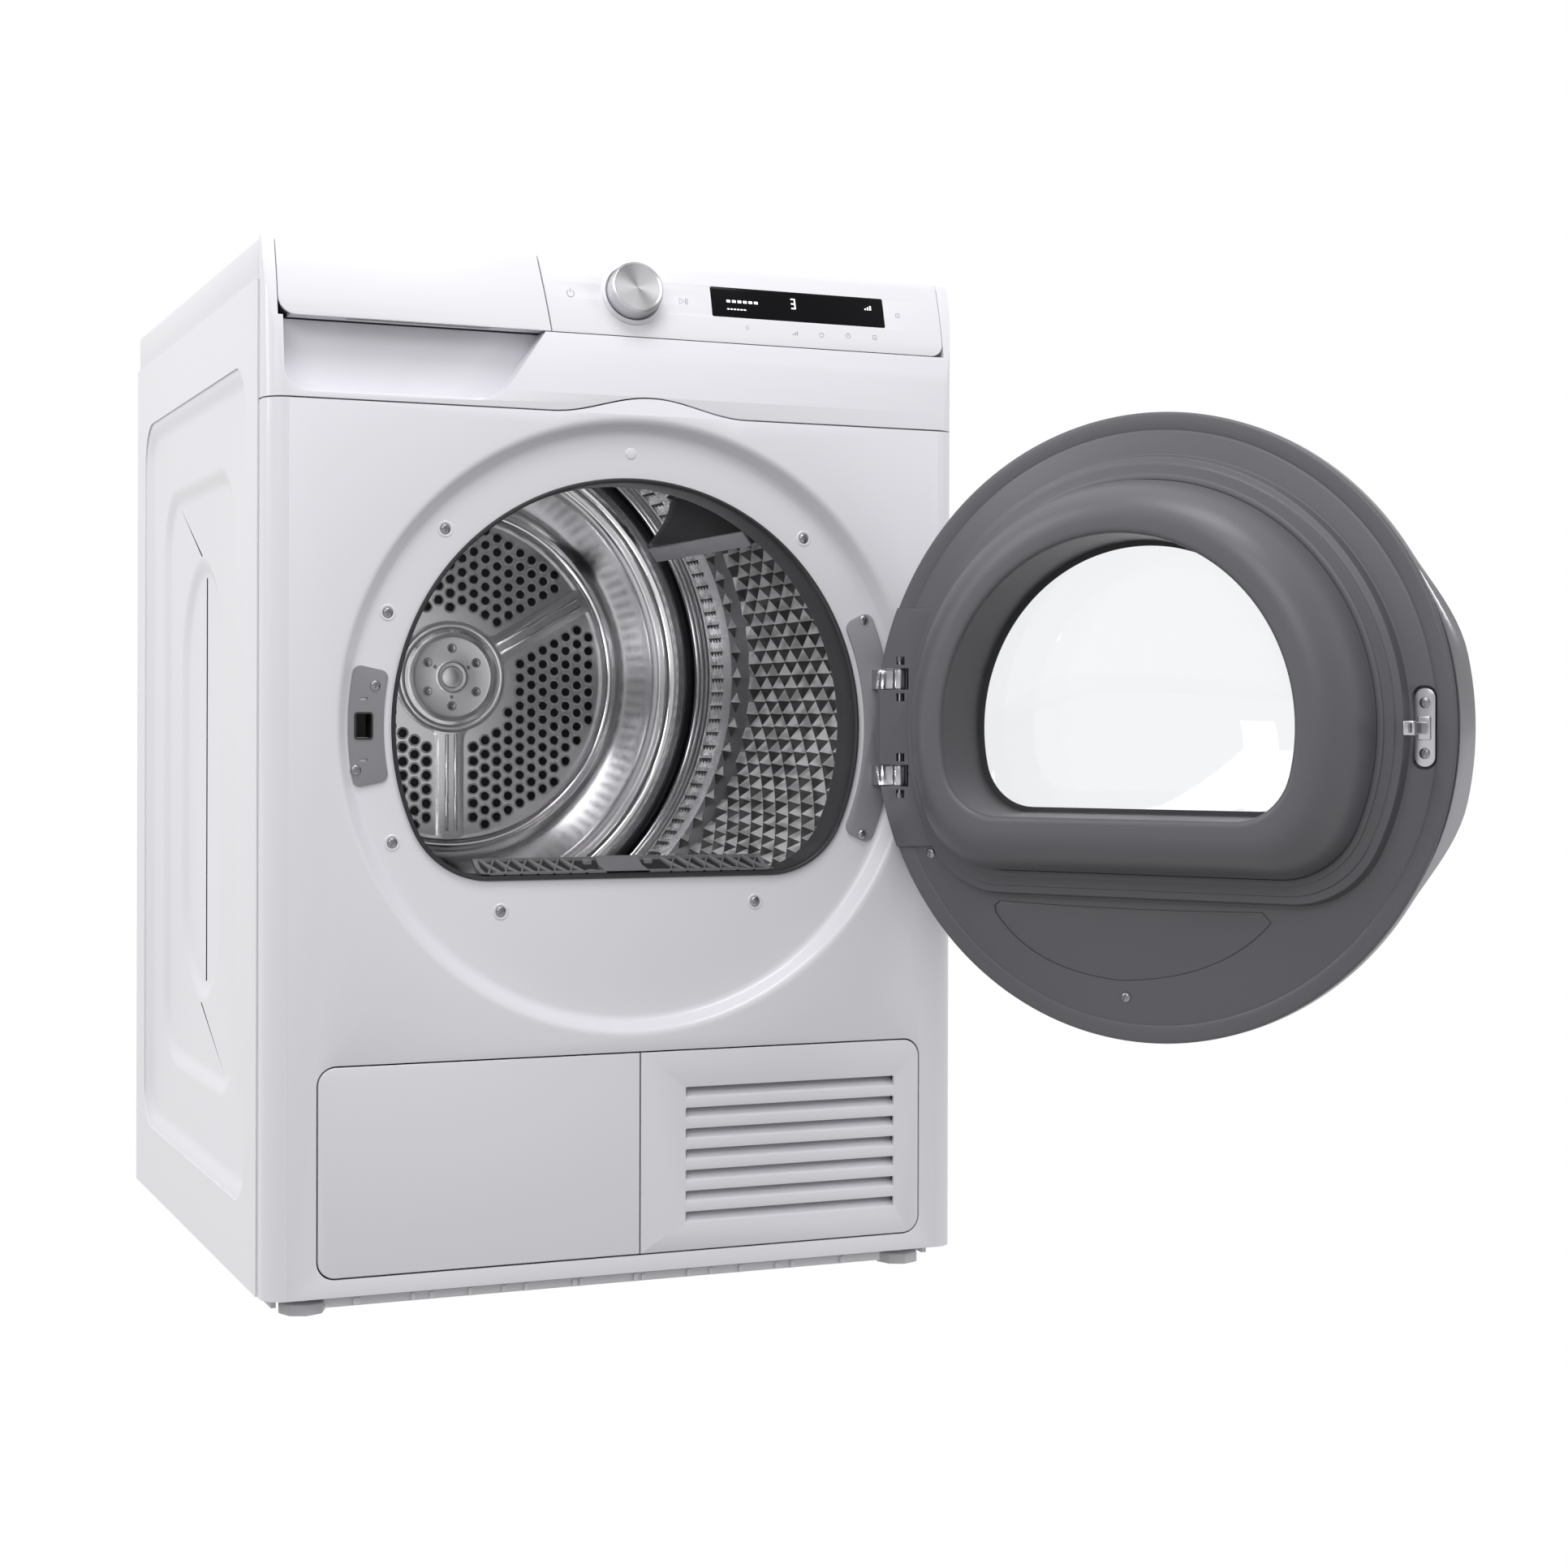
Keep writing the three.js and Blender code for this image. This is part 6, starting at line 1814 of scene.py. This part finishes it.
def makeLintFilter():
    low, high = cadBox("lint_filter")
    top = high.z
    case = block("lintCase", (low.x, low.y + 2, low.z), (high.x, high.y - 2, top - 8))
    carve(case, block("caseHollow", (low.x + 5, low.y + 6, low.z + 5), (high.x - 5, high.y - 6, top + 4)))
    for i in range(4):
        x0 = low.x + 8 + i * 51.5
        carve(case, block("bay", (x0, low.y - 2, low.z + 12), (x0 + 45, high.y + 2, top - 24)))
    soften(case, 0.8, 40, 2)
    pieces = [case]
    rims = block("rim", (low.x, low.y, top - 9), (high.x, high.y, top))
    carve(rims, block("rimHole", (low.x + 3, low.y + 3, top - 12), (high.x - 3, high.y - 3, top + 3)))
    pieces.append(soften(rims, 0.7, 40, 2))
    for side in (-1, 1):
        for i in range(6):
            x0 = side * 30 + side * i * 12.5
            x1 = x0 + side * 12.5
            for a, b in (((x0, low.y + 3), (x1, high.y - 3)), ((x0, high.y - 3), (x1, low.y + 3))):
                d = Vector((b[0] - a[0], b[1] - a[1])).normalized()
                n = Vector((-d.y, d.x)) * 0.8
                outline = [
                    (a[0] + n.x, a[1] + n.y),
                    (b[0] + n.x, b[1] + n.y),
                    (b[0] - n.x, b[1] - n.y),
                    (a[0] - n.x, a[1] - n.y),
                ]
                slope = [(x, y, top - 6.5 + 6 * (y - low.y) / (high.y - low.y)) for x, y in outline]
                pieces.append(prism("lattice", slope, (0, 0, -2.5)))
    grip = block("grip", (-26, low.y + 1, top - 16), (26, high.y - 1, top + 0.0))
    carve(grip, block("gripHole", (-20, low.y + 4, top - 9), (20, high.y - 4, top + 3)))
    pieces.append(soften(grip, 1.2, 40, 3))
    placePiece(united("lintFilter", pieces), "filter", latticeGrey, ["lint_filter"])
    makeFilterLip()


lipSettings = {
    "half": 128, "low": 344.6, "shoulder": 349, "high": 356.5, "front": -283, "bend": -264, "back": -252
}


def makeFilterLip():  # the sloping grille that stands behind the opening's lower edge
    s = lipSettings
    front, knee, back = (s["front"], s["low"] + 0.6), (s["bend"], s["shoulder"]), (s["back"], s["high"])
    x0, x1 = opening["x"] - s["half"], opening["x"] + s["half"]

    def strip(name, a, b, lift, deep):  # a band over the slope between two x positions
        points = [
            front,
            knee,
            back,
            (s["back"], s["high"] - deep),
            (s["bend"], s["shoulder"] - deep),
            (s["front"], s["low"]),
        ]
        points = [(y, max(z, s["low"]) + (lift if i < 3 else 0)) for i, (y, z) in enumerate(points)]
        return prism(name, [(a, y, z) for y, z in points], (b - a, 0, 0))

    # a black strip under the grille bars, painted shade seen between them
    floor = strip("lipShadeFloor", x0 + 3, x1 - 3, -2.2, 5)
    placePiece(floor, "filter", paintedHoleShade)
    bars = [strip("lipEnd", x0, x0 + 4, 0, 4), strip("lipEnd", x1 - 4, x1, 0, 4)]
    middle = opening["x"]
    bars += [strip("lipGrip", middle - 22, middle + 16, 0.6, 4)]
    bars.append(
        soften(
            block(
                "hookLeft",
                (middle - 34, s["back"] - 6.5, s["low"] + 1),
                (middle - 26, s["back"], s["high"] - 2),
            ),
            1.5,
            40,
            3,
        ),
    )
    bars.append(
        soften(
            block(
                "hookRight",
                (middle + 20, s["back"] - 6.5, s["low"] + 1),
                (middle + 28, s["back"], s["high"] - 2),
            ),
            1.5,
            40,
            3,
        ),
    )
    bars.append(block("lipRail", (x0, s["back"] - 1.6, s["high"] - 4), (x1, s["back"], s["high"])))
    bars.append(block("lipRail", (x0, s["front"], s["low"]), (x1, s["front"] + 2, s["low"] + 1.6)))
    for start, end in ((x0 + 4, middle - 40), (middle + 34, x1 - 4)):
        count = 6
        step = (end - start) / count
        for i in range(count):
            a, b = start + i * step, start + (i + 1) * step
            for p, q in ((a, b), (b, a)):
                line = [(p, *front), ((p + q) / 2, *knee), (q, *back)]
                side = [(x + 1.7, y, z) for x, y, z in line]
                bars.append(prism("cross", line + side[::-1], (0, 0, -2)))
    placePiece(united("filterLip", bars), "filter", latticeGrey)


makeLintFilter()
print("stage: lint filter")

doorShape = {
    "radius": 252,
    "flange": 306,
    "step": 216,
    "stepY": 293,
    "bowl": 196,
    "tip": 240,
    "bowlRound": 33,
    "bowlDepth": 46,
    "rim": 45,
    "handleOut": 11,
    "handleHalf": 32,
}


def flareAt(angle):  # how far the handle stands out at an angle round the door
    away = abs(abs(angle) - pi)
    half = radians(doorShape["handleHalf"])
    if away > half:
        return 0.0
    share = min(1.0, (half - away) / (half * 0.62))
    return doorShape["handleOut"] * share * share * (3 - 2 * share)


def flaredRing(radius, y, flare=1.0, steps=180):
    points = []
    for i in range(steps):
        angle = -pi + 2 * pi * i / steps
        r = radius + flare * flareAt(angle)
        points.append((opening["x"] + r * cos(angle), -y, opening["z"] + r * sin(angle)))
    return points


def hingePocket():
    axis = doorHinge
    return block(
        "pocket",
        (axis.x - 18, cabinet["faceY"] - 20, opening["z"] - 71),
        (axis.x + 30, cabinet["faceY"] + 20, opening["z"] + 71),
    )


def makeDoorRing():
    d = doorShape
    r = d["radius"]
    section = [
        (r - 1.2, 314, 0.3), (
            r - 0.2, 315.2, 0.6
        ), (r, 317.5, 1), (r - 3, 320, 1), (r - 12, 325, 0.9), (r - 22, 331, 0.7),
        (r - 31, 338, 0.4), (
            r - 40, 343.5, 0.15
        ), (r - 48, 345.8, 0), (r - 60, 346, 0), (r - 68, 345.5, 0), (r - 72, 343, 0),
        (r - 74, 339, 0), (r - 74, 330, 0), (r - 70, 322.5, 0), (r - 46, 322.3, 0), (r - 16, 314.2, 0),
    ]
    ring = loft("doorRing", [flaredRing(a, b, c) for a, b, c in section], joinEnds=True)
    carve(ring, hingePocket())
    placePiece(ring, "door", doorMetal, ["door_ring"], smooth=40, isOpen=True)
    pane = turn(
        "outerPane",
        [(0, -342), (176, -342), (177.4, -341), (177.4, -339), (176, -338.2), (0, -338.2)],
        opening["x"],
        opening["z"],
        144,
    )
    placePiece(pane, "door", windowGlass, ["outer_pane"], isOpen=True)
    seat = turn(
        "paneSeat",
        [(164, -337.6), (178, -337.6), (178, -330), (164, -330), (164, -337.6)],
        opening["x"],
        opening["z"],
        120,
    )
    placePiece(seat, "door", blackPlastic, isOpen=True)


def hingeD(distance):  # a place on the shut door, measured from its hinge
    return doorHinge.x - distance


def labelOutline():
    points = [(hingeD(95), 318)] + bend((hingeD(100), 322), (hingeD(216), 318), (hingeD(332), 322), 14)
    points += bend((hingeD(340), 314), (hingeD(300), 268), (hingeD(216), 262), 12)
    return points + bend((hingeD(210), 261.6), (hingeD(130), 266), (hingeD(96), 312), 12)


def makeDoorFrame():
    d = doorShape
    r, flange, stepY = d["radius"], -d["flange"], -d["stepY"]
    profile = [(0, -321.6), (r - 46, -321.6), (r - 16, -313.6), (r - 1.4, -313.4)]
    profile += bend((r - 0.6, -313), (r, -311), (r, -309.5), 3) + bend(
        (r, -308.5), (r, flange - 0.2), (r - 3, flange), 4
    )
    profile += [(r - 12, flange), (r - 14.5, flange - 1), (r - 17, flange), (0, flange), (0, -321.6)]
    flangePart = turn("doorFlange", profile, opening["x"], opening["z"], 180)
    carve(flangePart, prism("hole", atDepth(mouthOutline(-30), -330), (0, 60, 0)))
    pocket = roundedRect(-229.5, -210.5, 434, 497, 8, 6)
    strikerHole = prism("strikerHole", atDepth(pocket, -311), (0, 12, 0))
    label = prism("label", atDepth(labelOutline(), flange - 1.2), (0, 5, 0))
    carve(flangePart, hingePocket(), strikerHole, label)
    tip, grow = -d["tip"], d["bowl"] - opening["radius"]
    section = [
        (d["step"] - 200, flange - 3),
        (14.5, flange - 0.4),
        (12.6, flange + 0.3),
        (11.6, flange + 2.4),
        (11.1, stepY - 5.4),
    ]
    section += [
        (10.4, stepY - 3.4),
        (8.6, stepY - 2.6),
        (5.6, stepY - 2.4),
        (4.7, stepY - 1.8),
        (4.2, stepY - 0.3),
        (3, stepY),
    ]
    section += [(grow + 3, stepY), (grow + 1.6, stepY + 0.6), (grow + 0.4, stepY + 2)]
    rounding, depth = d["bowlRound"], d["bowlDepth"]
    for i in range(13):
        a = pi / 2 * i / 12
        section.append((grow - rounding + rounding * cos(a), tip - depth + depth * sin(a)))
    inner = grow - d["rim"]
    section += bend((inner + 5, tip), (inner, tip), (inner, tip - 5), 4)
    section += [(inner - 1.5, -286), (inner - 2, -303), (inner + 12, -303), (inner + 12, -310), (14, -310)]
    bowl = sweepMouth("doorBowl", section)
    placePiece(
        united("doorFrame", [flangePart, bowl]),
        "door",
        doorGrey,
        ["door_inner_frame"],
        smooth=38,
        isOpen=True,
    )
    edge = sweepMouth(
        "windowGasket", [(inner - 2.1, -300.5), (inner - 2.1, -303), (inner - 6, -303), (inner - 6, -301.4)]
    )
    placePiece(edge, "door", rubber, isOpen=True)
    pane = prism("innerPane", atDepth(mouthOutline(inner + 7), -306.6), (0, 3.6, 0))
    placePiece(soften(pane, 0.4, 40, 2), "door", windowGlass, ["inner_pane"], isOpen=True)
    seal = sweepMouth(
        "doorSeal",
        [
            (grow + 0.6, stepY + 0.3),
            (grow + 5.4, stepY + 0.3),
            (grow + 5.6, stepY + 1.4),
            (grow + 3.4, stepY + 2.4),
            (grow + 1, stepY + 2.2),
        ],
    )
    placePiece(seal, "door", doorGrey, ["door_seal"], isOpen=True)


def makeDoorDetails():
    y = -doorShape["flange"]
    x = opening["x"]
    middle = (hingeD(216), 293)
    outline = [tuple(m + (a - m) * 0.985 for a, m in zip(point, middle)) for point in labelOutline()]
    lid = prism("doorLabelPanel", atDepth(outline, y - 1.2), (0, 0.9, 0))
    soften(lid, 0.3, 30, 2)
    placePiece(lid, "door", doorGrey, isOpen=True)
    screws = [
        (hingeD(34), y + 0.2, 359, 15), (hingeD(401), y + 0.2, 353, 40), (hingeD(215), y + 0.4, 249, 70)
    ]
    screwsAt("doorScrews", screws, "door", flip=True, isOpen=True)
    base = y - 2.8
    plate = prism("strikerPlate", atDepth(roundedRect(-228, -212, 436, 495, 7.8, 8), base), (0, 2, 0))
    roundEdges(plate, lambda e: all(v.co.y > base + 1.9 for v in e.verts), 0.5, 2)
    hook = block("hook", (-222.5, base + 1, 460.5), (-217.5, -275, 469.5))
    beak = block("beak", (-223, -281, 459.5), (-214, -275, 470.5))
    cover = block("hookFoot", (-225, base + 1, 456), (-215, base + 5, 474))
    pieces = [plate, soften(hook, 1, 40, 3), soften(beak, 1.2, 40, 3), soften(cover, 1.2, 40, 3)]
    placePiece(
        united("strikerPlate", pieces), "door", brightSteel, ["door_striker"], isOpen=True
    )
    screwsAt(
        "strikerScrews",
        [(-220, base + 2, 484, 30), (-220, base + 2, 446, 60)],
        "door",
        flip=True,
        isOpen=True,
    )
    axis = doorHinge
    band = arcPoints(
        x, opening["z"], 251.4, -0.415, 0.415, 24
    ) + arcPoints(x, opening["z"], 218, 0.475, -0.475, 24)
    hingeCover = prism("hingeCover", atDepth(band, y - 0.4), (0, 2.2, 0))
    for sign in (1, -1):
        z = opening["z"] + sign * 41
        carve(hingeCover, block("notch", (axis.x - 13, y - 4, z - 9.2), (axis.x + 15, y + 4, z + 9.2)))
        for offset in (15.5, -15.5):
            carve(
                hingeCover,
                block("hole", (axis.x - 9, y - 4, z + offset - 3.4), (axis.x - 1, y + 4, z + offset + 3.4)),
            )
    soften(hingeCover, 0.5, 40, 2)
    placePiece(hingeCover, "door", doorGrey, isOpen=True)
    leaves = []
    for sign in (1, -1):
        for side in (1, -1):
            z = opening["z"] + sign * 41 + side * 10.4
            knuckle = [
                (axis.x + 5 * cos(a), axis.y + 5 * sin(a)) for a in [2 * pi * i / 24 for i in range(24)]
            ]
            leaves.append(prism("barrel", [(a, b, z - 1.4) for a, b in knuckle], (0, 0, 2.8)))
            leaves.append(
                block("leaf", (axis.x - 17, axis.y - 7.2, z - 1.4), (axis.x - 1, axis.y - 4, z + 1.4))
            )
    strap = block(
        "strap",
        (axis.x - 17.3, axis.y - 7.2, opening["z"] - 50),
        (axis.x - 13.4, y - 0.8, opening["z"] + 50),
    )
    leaves.append(soften(strap, 0.6, 40, 2))
    placePiece(united("hingeLeaf", leaves), "door", zinc, ["hinge_leaf"], isOpen=True)


makeDoorRing()
makeDoorFrame()
makeDoorDetails()
print("stage: door")

nodeFinishes = {
    "base_moulding": basePlastic,
    "rear_panel": zinc,
    "rear_air_duct": greyDuct,
    "drum_bearing": zinc,
    "drum_shaft": zinc,
    "drum_felt_seal": felt,
    "drive_belt": rubber,
    "drive_motor": blackSteel,
    "motor_shaft": zinc,
    "process_fan": darkPlastic,
    "fan_housing": greyDuct,
    "tensioner_arm": zinc,
    "tensioner_pulley": darkPlastic,
    "drum_roller_left": rubber,
    "drum_roller_right": rubber,
    "evaporator": finStock,
    "condenser": finStock,
    "heat_pump_housing": greyDuct,
    "heat_pump_cover": darkPlastic,
    "cover_lever_1": lightGrey,
    "cover_lever_2": lightGrey,
    "compressor": blackSteel,
    "condensate_pump": blackPlastic,
    "mains_inlet": blackPlastic,
    "push_latch_plunger": darkPlastic,
    "control_board": boardGreen,
    "tank_tray": greyDuct,
    "hinge_pin": brightSteel,
    "catch_pawl": zinc,
}
for nodeName, finish in nodeFinishes.items():
    mesh = frame["nodes"][nodeName].data
    mesh.materials.clear()
    mesh.materials.append(finish)
print("stage: CAD finishes")
